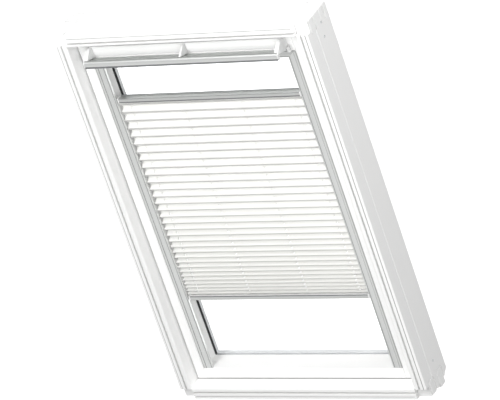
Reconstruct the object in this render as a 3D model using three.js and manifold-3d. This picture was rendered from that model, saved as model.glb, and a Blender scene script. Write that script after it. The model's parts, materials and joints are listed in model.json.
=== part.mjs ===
// Centre-pivot roof window with a pleated blind in its sash, in millimetres.
// X runs across the window, Y from the room towards the weather, Z up the slope.
// Sizes below are measured from the frame's room face (Y 0) and from the sill's flat underside (Z 0).
import * as THREE from 'three';
import { mergeVertices } from 'three/addons/utils/BufferGeometryUtils.js';
import Module from 'manifold-3d';

// Frame
const frameWidth = 780;
const frameHeight = 1178;
const frameDepth = 127;
const faceWidth = 37.4;
const revealDepth = 36.8;
const revealSplay = 6.8;
const innerArrisWidth = 3;
const beadDepth = 16.8;
const beadStop = 33;
const bandWidth = 10.5;
const headBandWidth = 13.5;
const bandDrop = 1.6;
const liningSlotPlace = 22.2;
const headSlotPlace = 27;
const liningSlotWidth = 5;
const liningSlotDepth = 9;
const outerStep = 0.8;
const collarPlace = 46;
const fingerCornerWidth = 4;
const jointGap = 0.3;
const overrun = 20;

// Comb joints: depths where the fingers of the cross members start and end
const frontFingerStart = 22.5;
const frontFingerEnd = 52;
const headFingerStart = 82;
const headFingerEnd = 110;
const sillFingerStart = 72;
const sillFingerEnd = 104;

// Sill's drip nose and its bevelled back edge
const noseFront = 74;
const noseBack = 102;
const noseDrop = 9;
const bevelStartHeight = 5;
const bevelEndHeight = 22;

// Weather gasket let into the frame
const gasketPlace = 55;
const gasketWidth = 6;
const gasketSeat = 4;
const gasketStand = 1;

// Sash
const sashSideGap = 3.2;
const sashTopGap = 3.5;
const sashBottomGap = 3.1;
const sashArrisWidth = 1.5;
const sashBackPlace = 124.1;
const stileWidth = 28;
const topRailHeight = 48.9;
const bottomRailHeight = 31.6;
const revealFlat = 30;
const shoulderPlace = 95.5;
const stileShoulder = 11.6;
const railShoulder = 6.1;
const stileRebateWall = 12.3;
const topRebateWall = 28;
const bottomRebateWall = 11;

// Glazing, from the shoulder outwards
const sealThickness = 2.9;
const sealShow = 1.5;
const sealBottomDrop = 4;
const paneThickness = 4;
const cavity = 15;
const spacerWidth = 12;
const spacerInset = 0.8;
const outerSealWidth = 11;
const layerGap = 0.3;
const glassEdgeGap = 2.2;
const blockLength = 80;
const blockEndMargin = 142;
const claddingThickness = 2.3;
const claddingCover = 27;

// Pivots at mid-height
const pivotPlace = 82;
const pivotPlateLength = 90;
const pivotPlateWidth = 30;
const pivotPlateThickness = 3.8;
const pivotPinRadius = 7;
const pivotPinLength = 7;
const pivotClearance = 0.4;
const recessGap = 0.3;

// Lock in the top rail and its striker in the head
const lockWidth = 120;
const lockDepth = 24;
const lockHeight = 21;
const lockPlace = 66;
const strikerWidth = 80;
const strikerThickness = 2;

// Flap and handle bar, measured from the flap's hinge pin
const flapPinPlace = 27;
const flapPinBelowSashTop = 38.3;
const flapPinRadius = 2;
const flapPinClearance = 0.3;
const flapBeadRadius = 4;
const flapHeight = 37;
const flapTopOffset = 7;
const flapBulgeDepth = 3;
const flapFootOffset = 2;
const flapThickness = 2.5;
const barReach = 54;
const barRear = 17;
const barTopRise = 17;
const barRearRise = 6.5;
const barPlateThickness = 3;
const barNoseThickness = 7;
const barNoseDrop = 2.5;
const barLipHeight = 3;
const barLipWidth = 2.5;
const barEndMargin = 46.6;
const bracketThickness = 9;
const middleBracketThickness = 6;
const braceKneeReach = 22.5;
const braceKneeRise = 34.8;
const braceTopReach = 11;
const braceTopRise = 37;
const braceFrontRise = 12;
const endCapThickness = 3;
const endCapRear = 8.5;
const endCapBackRise = 35;
const endCapPinGap = 1.5;
const housingGap = 0.7;
const housingThickness = 8;
const housingReach = 6;
const housingHeight = 14;
const filterThickness = 6.5;
const filterHeight = 24;
const filterEndMargin = 16;
const filterBelowSashTop = 2.3;

// Blind: channels and top profile
const channelWidth = 29.1;
const topProfileWidth = 21;
const channelWall = 1.8;
const channelDepth = 27;
const channelReturn = 7.4;
const channelBackFlange = 10;
const channelRebate = 1.8;
const channelFaceDrop = 2;
const channelCrown = 0.8;
const channelGrooveDepth = 1.2;

// Blind: rails
const railDepth = 21;
const railHeight = 12.2;
const railFront = 41;
const railEndGap = 1.9;
const railRebate = 2.5;
const railGroove = 1.8;
const railTopGroovePlace = 12;
const railTopGrooveWidth = 3.4;
const railTopGrooveDepth = 2.2;
const railWall = 1.5;
const shoeCap = 3.5;
const shoeTongueDepth = 12;
const shoeTongueHeight = 8;
const shoeTongueGap = 3.2;
const topRailDrop = 107.3;
const bottomRailRise = 224.6;

// Blind: fabric and cords
const pleatPitch = 19.5;
const pleatTopShare = 1.323;
const pleatCrowdingShare = 1.65;
const pleatLeg = 20;
const fabricThickness = 0.8;
const fabricSideGap = 0.6;
const cordRadius = 0.7;
const cordInset = 14;
const channelFootThickness = 3;
const channelFootDepth = 19;

// Where a channel's ridge starts and ends, and its fine groove, as shares of its width
const channelShares = [0.11, 0.27, 0.84, 0.89];

// Places worked out from the sizes above
const halfWidth = frameWidth / 2;
const innerWidth = faceWidth + revealSplay;
const openingHalf = halfWidth - innerWidth;
const openingTop = frameHeight - innerWidth;
const sashHalf = openingHalf - sashSideGap;
const sashTop = openingTop - sashTopGap;
const sashBottom = innerWidth + sashBottomGap;
const sashOpeningHalf = sashHalf - stileWidth;
const sashOpeningTop = sashTop - topRailHeight;
const sashOpeningBottom = sashBottom + bottomRailHeight;
const revealFlatEnd = revealDepth + revealFlat;
const pivotHeight = frameHeight / 2;
const flapPinHeight = sashTop - flapPinBelowSashTop;
const channelEdge = sashOpeningHalf - jointGap;
const channelInner = channelEdge - channelWidth;
const topProfileEdge = sashOpeningTop - jointGap;
const railMiddle = railFront + railDepth / 2;
const railEnd = channelInner - railEndGap;
const topRailUnderside = topProfileEdge - topProfileWidth - topRailDrop - railHeight;
const bottomRailUnderside = sashOpeningBottom + bottomRailRise;
const barHalfLength = sashHalf - barEndMargin;
const bracketPlace = barHalfLength - bracketThickness / 2;
const filterHalfLength = barHalfLength - filterEndMargin;
const blockPlace = sashHalf - blockEndMargin;
const cordPlace = channelEdge - cordInset;
const tongueMiddle = railMiddle + railGroove / 2;
const headFingers = [[frontFingerStart, frontFingerEnd], [headFingerStart, headFingerEnd]];
const sillFingers = [[frontFingerStart, frontFingerEnd], [sillFingerStart, sillFingerEnd]];

const steps = { curve: 5, circle: 20, cord: 8 };

const materials = {
  lacquer: { color: 0xf6f6f2, roughness: 0.38, metalness: 0 },
  plastic: { color: 0xf4f4f1, roughness: 0.42, metalness: 0 },
  aluminium: { color: 0xc4c6c5, roughness: 0.34, metalness: 0.85 },
  cladding: { color: 0x6d7072, roughness: 0.5, metalness: 0.5 },
  steel: { color: 0xa9acae, roughness: 0.3, metalness: 0.9 },
  rubber: { color: 0x2b2d2d, roughness: 0.75, metalness: 0 },
  spacer: { color: 0xcfd2d3, roughness: 0.45, metalness: 0.3 },
  glass: { color: 0xf2f6f6, roughness: 0.03, metalness: 0, transparent: true, opacity: 0.3 },
  fabric: { color: 0xf3f2ea, roughness: 0.9, metalness: 0 },
  cord: { color: 0xf0f0ec, roughness: 0.8, metalness: 0 },
  foam: { color: 0x55585a, roughness: 0.95, metalness: 0 },
};

const wasm = await Module();
wasm.setup();

// A named piece of the window with its own material
function piece(name, geometry, look) {
  geometry.computeVertexNormals();
  const mesh = new THREE.Mesh(geometry, new THREE.MeshStandardMaterial(look));
  mesh.name = name;
  return mesh;
}

// Closed solid for joining and cutting
function solidOf(geometry) {
  const bare = geometry.index ? geometry.toNonIndexed() : geometry.clone();
  bare.deleteAttribute('normal');
  bare.deleteAttribute('uv');
  const merged = mergeVertices(bare);
  return new wasm.Manifold(new wasm.Mesh({
    numProp: 3,
    vertProperties: new Float32Array(merged.attributes.position.array),
    triVerts: new Uint32Array(merged.index.array),
  }));
}

function geometryOf(solid) {
  const mesh = solid.getMesh();
  const geometry = new THREE.BufferGeometry();
  geometry.setAttribute('position', new THREE.BufferAttribute(mesh.vertProperties, 3));
  geometry.setIndex(new THREE.BufferAttribute(mesh.triVerts, 1));
  return geometry;
}

function cut(geometry, cutters) {
  let solid = solidOf(geometry);
  for (const cutter of cutters) solid = solid.subtract(solidOf(cutter));
  return geometryOf(solid);
}

function join(geometries) {
  let solid = solidOf(geometries[0]);
  for (const geometry of geometries.slice(1)) solid = solid.add(solidOf(geometry));
  return geometryOf(solid);
}

// Outline extruded along one axis; the outline's two numbers are the other two axes in alphabetical order
const axisFrames = {
  x: new THREE.Matrix4().set(0, 0, 1, 0, 1, 0, 0, 0, 0, 1, 0, 0, 0, 0, 0, 1),
  y: new THREE.Matrix4().set(0, 1, 0, 0, 0, 0, 1, 0, 1, 0, 0, 0, 0, 0, 0, 1),
  z: new THREE.Matrix4(),
};

// Points of an outline, turned so that they run clockwise or not
function wound(points, clockwise) {
  return THREE.ShapeUtils.isClockWise(points) === clockwise ? points : points.reverse();
}

function extrude(axis, outline, start, end, holes = []) {
  const place = ([a, b]) => (axis === 'y' ? new THREE.Vector2(b, a) : new THREE.Vector2(a, b));
  const shape = new THREE.Shape(wound(outline.map(place), false));
  for (const hole of holes) shape.holes.push(new THREE.Path(wound(hole.map(place), true)));
  const geometry = new THREE.ExtrudeGeometry(shape, { depth: end - start, bevelEnabled: false });
  geometry.translate(0, 0, start);
  geometry.applyMatrix4(axisFrames[axis]);
  return geometry;
}

function box(x0, x1, y0, y1, z0, z1) {
  const geometry = new THREE.BoxGeometry(x1 - x0, y1 - y0, z1 - z0);
  geometry.translate((x0 + x1) / 2, (y0 + y1) / 2, (z0 + z1) / 2);
  return geometry;
}

// Round bar along X
function barAlongX(radius, x0, x1, y, z, sides) {
  const geometry = new THREE.CylinderGeometry(radius, radius, x1 - x0, sides);
  geometry.rotateZ(Math.PI / 2);
  geometry.translate((x0 + x1) / 2, y, z);
  return geometry;
}

// Rectangle in the window's plane, as corner points
function rectangle(left, right, bottom, top) {
  return [[left, bottom], [right, bottom], [right, top], [left, top]];
}

// Flat ring round the window's opening, between two rectangles
function ring(outer, inner, start, end) {
  return extrude('y', rectangle(...outer), start, end, [rectangle(...inner)]);
}

// How far the frame's inner face lies from its outer face at a depth
function frameInner(depth) {
  return faceWidth + revealSplay * Math.min(Math.max(depth, 0), revealDepth) / revealDepth;
}

// The inner face between two depths, as pairs of distance and depth
function frameInnerPath(start, end) {
  const depths = [start, 0, revealDepth, end].filter((depth) => start <= depth && depth <= end);
  return depths.map((depth) => [frameInner(depth), depth]);
}

// Section of a frame member: distance from its outer face against depth.
// Its room face has a lower band along the outer edge, and a slot for the lining.
function frameSection(outerPath, bandEnd, slotPlace) {
  const [slotStart, slotEnd] = [slotPlace - liningSlotWidth / 2, slotPlace + liningSlotWidth / 2];
  return [
    ...outerPath,
    [frameInner(frameDepth), frameDepth],
    [frameInner(revealDepth), revealDepth],
    [frameInner(innerArrisWidth), innerArrisWidth],
    [faceWidth - innerArrisWidth, 0],
    [slotEnd, 0],
    [slotEnd, liningSlotDepth],
    [slotStart, liningSlotDepth],
    [slotStart, 0],
    [bandEnd, 0],
    [bandEnd, bandDrop],
  ];
}

const jambOuter = [[outerStep, bandDrop], [outerStep, collarPlace], [0, collarPlace], [0, frameDepth]];
const headOuter = [[outerStep, bandDrop], [outerStep, beadDepth], [0, beadDepth], [0, frameDepth]];
const sillOuter = [
  [outerStep, bandDrop],
  [outerStep, beadDepth],
  [0, beadDepth],
  [0, noseFront],
  [-noseDrop, noseFront],
  [-noseDrop, noseBack],
  [bevelStartHeight, noseBack],
  [bevelEndHeight, frameDepth],
];

// Depths left between the fingers of a comb joint
function betweenFingers(fingers) {
  const edges = [-overrun, ...fingers.flat(), frameDepth + overrun];
  return fingers.concat([[0, 0]]).map((finger, i) => [edges[2 * i], edges[2 * i + 1]]);
}

// Room for a finger, as pairs of distance from the outer face and depth.
// The fingers beside it end in a bevel.
function fingerRoom(start, end) {
  const [from, to] = [start - jointGap / 2, end + jointGap / 2];
  return [
    ...frameInnerPath(from, to).map(([inner, depth]) => [inner + jointGap, depth]),
    [fingerCornerWidth, to],
    [0, to + fingerCornerWidth],
    [-overrun, to + fingerCornerWidth],
    [-overrun, from - fingerCornerWidth],
    [0, from - fingerCornerWidth],
    [fingerCornerWidth, from],
  ];
}

// Room for the jambs' fingers in both ends of a cross member
function jambRoom(fingers) {
  return betweenFingers(fingers).flatMap(([start, end]) => [-1, 1].map((side) => {
    const room = fingerRoom(start, end).map(([inward, depth]) => [side * (halfWidth - inward), depth]);
    return extrude('z', room, -noseDrop - overrun, frameHeight + overrun);
  }));
}

// Room for the fingers of the head and the sill in a jamb that lies between two places across the window
function crossRoom(left, right) {
  const atHead = headFingers.map(([start, end]) => (
    fingerRoom(start, end).map(([inward, depth]) => [depth, frameHeight - inward])
  ));
  const atSill = sillFingers.map(([start, end]) => (
    fingerRoom(start, end).map(([inward, depth]) => [depth, inward])
  ));
  return [...atHead, ...atSill].map((room) => extrude('x', room, left, right));
}

// Bevel along an outer corner of the frame's head, all through its depth
function headCorner(side) {
  const edge = side * halfWidth;
  const corner = side * fingerCornerWidth;
  return extrude('y', [
    [edge - 2 * corner, frameHeight + fingerCornerWidth],
    [edge + corner, frameHeight + fingerCornerWidth],
    [edge + corner, frameHeight - 2 * fingerCornerWidth],
  ], -overrun, frameDepth + overrun);
}

// Weather gasket, or with a gap its seat in the four members
function gasketRing(gap) {
  const outer = gasketSeat + gap;
  const inner = gap > 0 ? gasketStand + overrun : gasketStand;
  return ring(
    [-openingHalf - outer, openingHalf + outer, innerWidth - outer, openingTop + outer],
    [-openingHalf + inner, openingHalf - inner, innerWidth + inner, openingTop - inner],
    gasketPlace - gap,
    gasketPlace + gasketWidth + gap,
  );
}

function pivotPlateBox(outside, inside, gap) {
  const halfLength = pivotPlateLength / 2 + gap;
  const halfPlate = pivotPlateWidth / 2 + gap;
  return box(
    Math.min(outside, inside), Math.max(outside, inside),
    pivotPlace - halfPlate, pivotPlace + halfPlate,
    pivotHeight - halfLength, pivotHeight + halfLength,
  );
}

function makeHead() {
  const outline = frameSection(headOuter, headBandWidth, headSlotPlace);
  const section = outline.map(([inward, depth]) => [depth, frameHeight - inward]);
  const strikerRoom = box(
    -strikerWidth / 2 - recessGap, strikerWidth / 2 + recessGap,
    lockPlace - recessGap, lockPlace + lockDepth + recessGap,
    openingTop - overrun, openingTop + strikerThickness + recessGap,
  );
  const corners = [headCorner(-1), headCorner(1)];
  const bar = extrude('x', section, -halfWidth, halfWidth);
  return cut(bar, [...jambRoom(headFingers), ...corners, gasketRing(recessGap), strikerRoom]);
}

function makeSill() {
  const outline = frameSection(sillOuter, bandWidth, liningSlotPlace);
  const section = outline.map(([inward, depth]) => [depth, inward]);
  const bar = extrude('x', section, -halfWidth, halfWidth);
  return cut(bar, [...jambRoom(sillFingers), gasketRing(recessGap)]);
}

// side is -1 for the left jamb and 1 for the right one
function makeJamb(side) {
  const outline = frameSection(jambOuter, bandWidth, liningSlotPlace);
  const section = outline.map(([inward, depth]) => [side * (halfWidth - inward), depth]);
  const outside = side * (halfWidth + overrun);
  const inside = side * (openingHalf - overrun);
  const pocket = side * (openingHalf + pivotPlateThickness + recessGap);
  const [left, right] = [Math.min(outside, inside), Math.max(outside, inside)];
  const bevel = [
    [noseBack, -overrun],
    [noseBack, bevelStartHeight],
    [frameDepth, bevelEndHeight],
    [frameDepth + overrun, bevelEndHeight],
    [frameDepth + overrun, -overrun],
  ];
  return cut(extrude('z', section, 0, frameHeight), [
    ...crossRoom(left, right),
    box(left, right, -overrun, beadDepth, frameHeight - beadStop, frameHeight + overrun),
    box(left, right, -overrun, beadDepth, -overrun, beadStop),
    headCorner(side),
    extrude('x', bevel, left, right),
    gasketRing(recessGap),
    pivotPlateBox(inside, pocket, recessGap),
  ]);
}

// Frame-side pivot plate with its pin pointing into the sash
function makeFramePivot(side) {
  const outer = openingHalf + pivotPlateThickness;
  const plate = pivotPlateBox(side * outer, side * openingHalf, 0);
  const pinEnd = openingHalf - pivotPinLength;
  const pinStart = (openingHalf + outer) / 2;
  const [x0, x1] = [Math.min(side * pinEnd, side * pinStart), Math.max(side * pinEnd, side * pinStart)];
  return join([plate, barAlongX(pivotPinRadius, x0, x1, pivotPlace, pivotHeight, steps.circle)]);
}

// Sash-side pivot plate with the socket for the pin
function makeSashPivot(side) {
  const inner = sashHalf - pivotPlateThickness;
  const plate = pivotPlateBox(side * sashHalf, side * inner, 0);
  const reach = sashHalf + overrun;
  const bore = barAlongX(
    pivotPinRadius + pivotClearance, -reach, reach, pivotPlace, pivotHeight, steps.circle,
  );
  return cut(plate, [bore]);
}

function makeStriker() {
  return box(
    -strikerWidth / 2, strikerWidth / 2,
    lockPlace, lockPlace + lockDepth,
    openingTop, openingTop + strikerThickness,
  );
}

// Section of a sash member: distance from its outer face against depth
function sashSection(width, shoulder, rebateWall) {
  return [
    [0, revealDepth],
    [0, sashBackPlace],
    [rebateWall, sashBackPlace],
    [rebateWall, shoulderPlace],
    [width + shoulder, shoulderPlace],
    [width, revealFlatEnd],
    [width, revealDepth + sashArrisWidth],
    [width - sashArrisWidth, revealDepth],
  ];
}

const stileSection = sashSection(stileWidth, stileShoulder, stileRebateWall);

// Room for the stiles in the ends of a sash rail
function stileRoom() {
  const edge = (inward) => sashHalf - inward - jointGap;
  const room = [
    [edge(stileWidth), revealDepth - overrun],
    [edge(stileWidth), revealFlatEnd],
    [edge(stileWidth + stileShoulder), shoulderPlace],
    [edge(stileWidth + stileShoulder), shoulderPlace + jointGap],
    [edge(stileRebateWall), shoulderPlace + jointGap],
    [edge(stileRebateWall), frameDepth + overrun],
    [sashHalf + overrun, frameDepth + overrun],
    [sashHalf + overrun, revealDepth - overrun],
  ];
  return [
    extrude('z', room, -overrun, frameHeight + overrun),
    extrude('z', room.map(([x, y]) => [-x, y]), -overrun, frameHeight + overrun),
  ];
}

function makeStile(side) {
  const section = stileSection.map(([inward, depth]) => [side * (sashHalf - inward), depth]);
  const pocket = pivotPlateBox(
    side * (sashHalf + overrun), side * (sashHalf - pivotPlateThickness - recessGap), recessGap,
  );
  return cut(extrude('z', section, sashBottom, sashTop), [pocket]);
}

function lockBox(gap) {
  return box(
    -lockWidth / 2 - gap, lockWidth / 2 + gap,
    lockPlace - gap, lockPlace + lockDepth + gap,
    sashTop - lockHeight - gap, gap > 0 ? sashTop + overrun : sashTop,
  );
}

function makeSashTopRail() {
  const outline = sashSection(topRailHeight, railShoulder, topRebateWall);
  const section = outline.map(([inward, depth]) => [depth, sashTop - inward]);
  return cut(extrude('x', section, -sashHalf, sashHalf), [...stileRoom(), lockBox(recessGap)]);
}

function makeSashBottomRail() {
  const outline = sashSection(bottomRailHeight, railShoulder, bottomRebateWall);
  const section = outline.map(([inward, depth]) => [depth, sashBottom + inward]);
  return cut(extrude('x', section, -sashHalf, sashHalf), stileRoom());
}

// Glazing layers: a rectangle seen from the room, inset from the sash's rebate or from its shoulder
const glassRectangle = [
  -sashHalf + stileRebateWall + glassEdgeGap,
  sashHalf - stileRebateWall - glassEdgeGap,
  sashBottom + bottomRebateWall + glassEdgeGap,
  sashTop - topRebateWall - glassEdgeGap,
];

function sightRectangle(inset) {
  return [
    -sashOpeningHalf + stileShoulder + inset,
    sashOpeningHalf - stileShoulder - inset,
    sashOpeningBottom + railShoulder + inset,
    sashOpeningTop - railShoulder - inset,
  ];
}

const innerSealPlace = shoulderPlace + layerGap;
const innerPanePlace = innerSealPlace + sealThickness + layerGap;
const spacerPlace = innerPanePlace + paneThickness + layerGap;
const outerPanePlace = spacerPlace + cavity + layerGap;
const outerSealPlace = outerPanePlace + paneThickness + layerGap;
const claddingPlace = sashBackPlace + layerGap;

function makeInnerSeal() {
  const [left, right, bottom, top] = sightRectangle(sealShow);
  const inner = [left, right, bottom - sealBottomDrop, top];
  return ring(sightRectangle(-spacerWidth), inner, innerSealPlace, innerSealPlace + sealThickness);
}

function makeSpacer() {
  return ring(sightRectangle(-spacerWidth), sightRectangle(spacerInset), spacerPlace, spacerPlace + cavity);
}

function makeOuterSeal() {
  const [left, right, bottom, top] = glassRectangle;
  const width = outerSealWidth;
  const inner = [left + width, right - width, bottom + width, top - width];
  return ring(glassRectangle, inner, outerSealPlace, sashBackPlace);
}

function pane(place) {
  return extrude('y', rectangle(...glassRectangle), place, place + paneThickness);
}

// One of four mitred strips that hold the glass from outside, drawn as the lower or the left one
function makeCladding(side) {
  const half = jointGap / 2;
  const [inward, near] = [claddingCover, claddingCover + half];
  const upright = side === 'left' || side === 'right';
  const [low, high] = upright ? [sashBottom, sashTop] : [-sashHalf, sashHalf];
  const edge = { left: -sashHalf, right: sashHalf, bottom: sashBottom, top: sashTop }[side];
  const step = side === 'left' || side === 'bottom' ? inward : -inward;
  const outline = [
    [edge, low + half],
    [edge, high - half],
    [edge + step, high - near],
    [edge + step, low + near],
  ];
  const placed = upright ? outline : outline.map(([z, x]) => [x, z]);
  return extrude('y', placed, claddingPlace, claddingPlace + claddingThickness);
}

// The flap's front curve, from its top to its foot, in depth and height from the hinge pin
function flapCurve(shift) {
  const curve = new THREE.QuadraticBezierCurve(
    new THREE.Vector2(-flapTopOffset + shift, flapHeight),
    new THREE.Vector2(-flapTopOffset - flapBulgeDepth + shift, flapHeight / 2),
    new THREE.Vector2(-flapFootOffset + shift, flapBeadRadius - jointGap),
  );
  return curve.getPoints(steps.curve).map(({ x, y }) => [x, y]);
}

function fromPin(outline) {
  return outline.map(([depth, height]) => [flapPinPlace + depth, flapPinHeight + height]);
}

function makeFlap() {
  const leaf = [...flapCurve(0), ...flapCurve(flapThickness).reverse()];
  const plate = extrude('x', fromPin(leaf), -barHalfLength, barHalfLength);
  const bead = barAlongX(
    flapBeadRadius, -barHalfLength, barHalfLength, flapPinPlace, flapPinHeight, steps.circle,
  );
  const reach = barHalfLength + overrun;
  const bore = barAlongX(
    flapPinRadius + flapPinClearance, -reach, reach, flapPinPlace, flapPinHeight, steps.circle,
  );
  return cut(join([plate, bead]), [bore]);
}

// Top face of the handle bar's plate at a distance in front of the pin
function barTop(distance) {
  const noseStart = barReach - barNoseThickness;
  return barRearRise + (barTopRise - barRearRise) * (distance - barRear) / (noseStart - barRear);
}

// Handle bar: a sloping plate with a rounded nose that is pulled, and a lip at the back
function barOutline() {
  const noseStart = barReach - barNoseThickness;
  const nose = new THREE.CubicBezierCurve(
    new THREE.Vector2(-noseStart, barTopRise),
    new THREE.Vector2(-barReach, barTopRise),
    new THREE.Vector2(-barReach, barTopRise / 2),
    new THREE.Vector2(-barReach + barLipWidth, -barNoseDrop),
  );
  return [
    ...nose.getPoints(steps.curve + 1).map(({ x, y }) => [x, y]),
    [-noseStart, -barNoseDrop],
    [-noseStart + barLipWidth, barTopRise - barPlateThickness - barLipWidth],
    [-barRear, barRearRise - barPlateThickness],
    [-barRear, barRearRise + barLipHeight],
    [-barRear - barLipWidth, barTop(barRear + barLipWidth) + barLipHeight],
    [-barRear - barLipWidth, barTop(barRear + barLipWidth)],
  ];
}

// Upper front edge of the brackets and the caps, in front of the flap's top
const braceTop = [[-braceKneeReach, braceKneeRise], [-braceTopReach, braceTopRise]];

// Where a bracket backs onto the flap, from its top down past the bead
const braceBack = [...flapCurve(-jointGap).slice(1, -1), [-flapBeadRadius - barLipWidth, flapBeadRadius]];

// Side of a bracket: it stands on the bar's plate and slopes up to the flap
function bracketOutline() {
  const [front, rear] = [barReach - barNoseThickness, barRear + 2 * barLipWidth];
  return [
    [-front, barTop(front) + jointGap],
    ...braceTop,
    ...braceBack,
    [-barRear + jointGap, barRearRise + barLipHeight],
    [-barRear - jointGap, barRearRise + barLipHeight + 2 * jointGap],
    [-barRear - barLipWidth - jointGap, barTop(barRear + barLipWidth) + barLipHeight + jointGap],
    [-rear, barTop(rear) + jointGap],
  ];
}

// End cap: covers the ends of the bar, the bracket and the flap, and reaches back over the pin
function endCapOutline() {
  const front = barReach - barNoseThickness;
  const overPin = flapPinRadius + endCapPinGap;
  return [
    [-barReach, barTopRise / 2],
    [-barReach, braceFrontRise],
    ...braceTop,
    [endCapRear, endCapBackRise],
    [endCapRear, endCapPinGap],
    [overPin, overPin],
    [-barRear, barRearRise - barPlateThickness],
    [-front + barLipWidth, barTopRise - 2 * barPlateThickness],
    [-front, -barNoseDrop],
    [-barReach + barLipWidth, -barNoseDrop],
  ];
}

function slab(outline, thickness) {
  return extrude('x', fromPin(outline), -thickness / 2, thickness / 2);
}

// Housing on the sash that carries an end of the flap's hinge pin
function makeHousing(side) {
  const inside = barHalfLength + jointGap + endCapThickness + housingGap;
  const outside = inside + housingThickness;
  const block = box(
    Math.min(side * inside, side * outside), Math.max(side * inside, side * outside),
    flapPinPlace - housingReach, revealDepth - jointGap,
    flapPinHeight - housingHeight / 2, flapPinHeight + housingHeight / 2,
  );
  const reach = outside + overrun;
  const bore = barAlongX(
    flapPinRadius + flapPinClearance, -reach, reach, flapPinPlace, flapPinHeight, steps.circle,
  );
  return cut(block, [bore]);
}

function makeFlapPin() {
  const reach = barHalfLength + jointGap + endCapThickness + housingGap + housingThickness;
  return barAlongX(flapPinRadius, -reach, reach, flapPinPlace, flapPinHeight, steps.circle);
}

function makeFilter() {
  const top = sashTop - filterBelowSashTop;
  const back = revealDepth - jointGap;
  return box(-filterHalfLength, filterHalfLength, back - filterThickness, back, top - filterHeight, top);
}

// Section of a channel or the top profile: distance from the sash's reveal against depth.
// From its outer edge it has a rebate, a ridge, a crowned face, a fine groove and an inner return.
function channelSection(width) {
  const front = revealDepth;
  const back = front + channelDepth;
  const face = front + channelFaceDrop;
  const wall = face + channelGrooveDepth + channelWall;
  const [ridgeStart, ridgeEnd, grooveStart, grooveEnd] = channelShares.map((share) => width * share);
  const crown = [0.2, 0.4, 0.6, 0.8].map((share) => [
    ridgeEnd + (grooveStart - ridgeEnd) * share,
    face - channelCrown * 4 * share * (1 - share),
  ]);
  return [
    [0, front + channelRebate],
    [0, back],
    [channelBackFlange, back],
    [channelBackFlange, back - channelWall],
    [channelWall, back - channelWall],
    [channelWall, wall],
    [width - channelWall, wall],
    [width - channelWall, front + channelReturn],
    [width, front + channelReturn],
    [width, face],
    [grooveEnd, face],
    [grooveEnd, face + channelGrooveDepth],
    [grooveStart, face + channelGrooveDepth],
    [grooveStart, face],
    ...crown.reverse(),
    [ridgeEnd, face],
    [ridgeEnd, front],
    [ridgeStart, front],
    [ridgeStart, front + channelRebate],
  ];
}

// What the mitre takes off a channel's top (away 1) or off an end of the top profile (away -1)
function mitre(side, away) {
  const at = (share) => [
    side * (channelEdge - channelWidth * share),
    topProfileEdge - topProfileWidth * share - away * jointGap / 2,
  ];
  const line = [at(-1), at(2)];
  const far = line.map(([x, z]) => [x, z + away * 2 * topProfileWidth]).reverse();
  return extrude('y', [...line, ...far], revealDepth - overrun, frameDepth + overrun);
}

function makeChannel(side) {
  const outline = channelSection(channelWidth);
  const section = outline.map(([inward, depth]) => [side * (channelEdge - inward), depth]);
  const foot = sashOpeningBottom + jointGap;
  return cut(extrude('z', section, foot, topProfileEdge), [mitre(side, 1)]);
}

function makeTopProfile() {
  const outline = channelSection(topProfileWidth);
  const section = outline.map(([inward, depth]) => [depth, topProfileEdge - inward]);
  return cut(extrude('x', section, -channelEdge, channelEdge), [mitre(-1, -1), mitre(1, -1)]);
}

// Section of a blind rail: a box with a rebate beside the cloth and a groove along its far side
function railSection(underside, clothBelow) {
  const heightAt = (height) => underside + (clothBelow ? height : railHeight - height);
  return [
    [railFront + railGroove, 0],
    [railFront + railDepth, 0],
    [railFront + railDepth, railHeight],
    [railFront + railTopGroovePlace + railTopGrooveWidth, railHeight],
    [railFront + railTopGroovePlace + railTopGrooveWidth, railHeight - railTopGrooveDepth],
    [railFront + railTopGroovePlace, railHeight - railTopGrooveDepth],
    [railFront + railTopGroovePlace, railHeight],
    [railFront, railHeight],
    [railFront, railRebate],
    [railFront + railGroove, railRebate],
  ].map(([depth, height]) => [depth, heightAt(height)]);
}

function makeRail(underside, clothBelow) {
  const half = railEnd - shoeCap - jointGap;
  const [near, far] = [railWall, railHeight - railTopGrooveDepth - railWall];
  const [bottom, top] = clothBelow ? [near, far] : [railHeight - far, railHeight - near];
  const hollow = rectangle(
    railFront + railGroove + railWall, railFront + railDepth - railWall,
    underside + bottom, underside + top,
  );
  return extrude('x', railSection(underside, clothBelow), -half, half, [hollow]);
}

// End cap of a rail with the tongue that runs in the channel
function makeShoe(side, underside) {
  const capStart = railEnd - shoeCap;
  const tongueEnd = channelEdge - channelWall - shoeTongueGap;
  const across = (a, b) => [Math.min(side * a, side * b), Math.max(side * a, side * b)];
  const [capLeft, capRight] = across(capStart, railEnd);
  const [left, right] = across(capStart + shoeCap / 2, tongueEnd);
  const middle = underside + railHeight / 2;
  return join([
    box(capLeft, capRight, railFront, railFront + railDepth, underside, underside + railHeight),
    box(
      left, right,
      tongueMiddle - shoeTongueDepth / 2, tongueMiddle + shoeTongueDepth / 2,
      middle - shoeTongueHeight / 2, middle + shoeTongueHeight / 2,
    ),
  ]);
}

// Pleats are widest at the top and crowd together towards the bottom rail
function pleatPitches(total) {
  const count = Math.round(total / pleatPitch);
  const crowding = [...Array(count).keys()].map((i) => (i / (count - 1)) ** pleatCrowdingShare);
  const sum = crowding.reduce((a, b) => a + b, 0);
  const loss = (pleatTopShare - 1) * count / sum;
  return crowding.map((crowd) => (total / count) * (pleatTopShare - loss * crowd));
}

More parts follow.
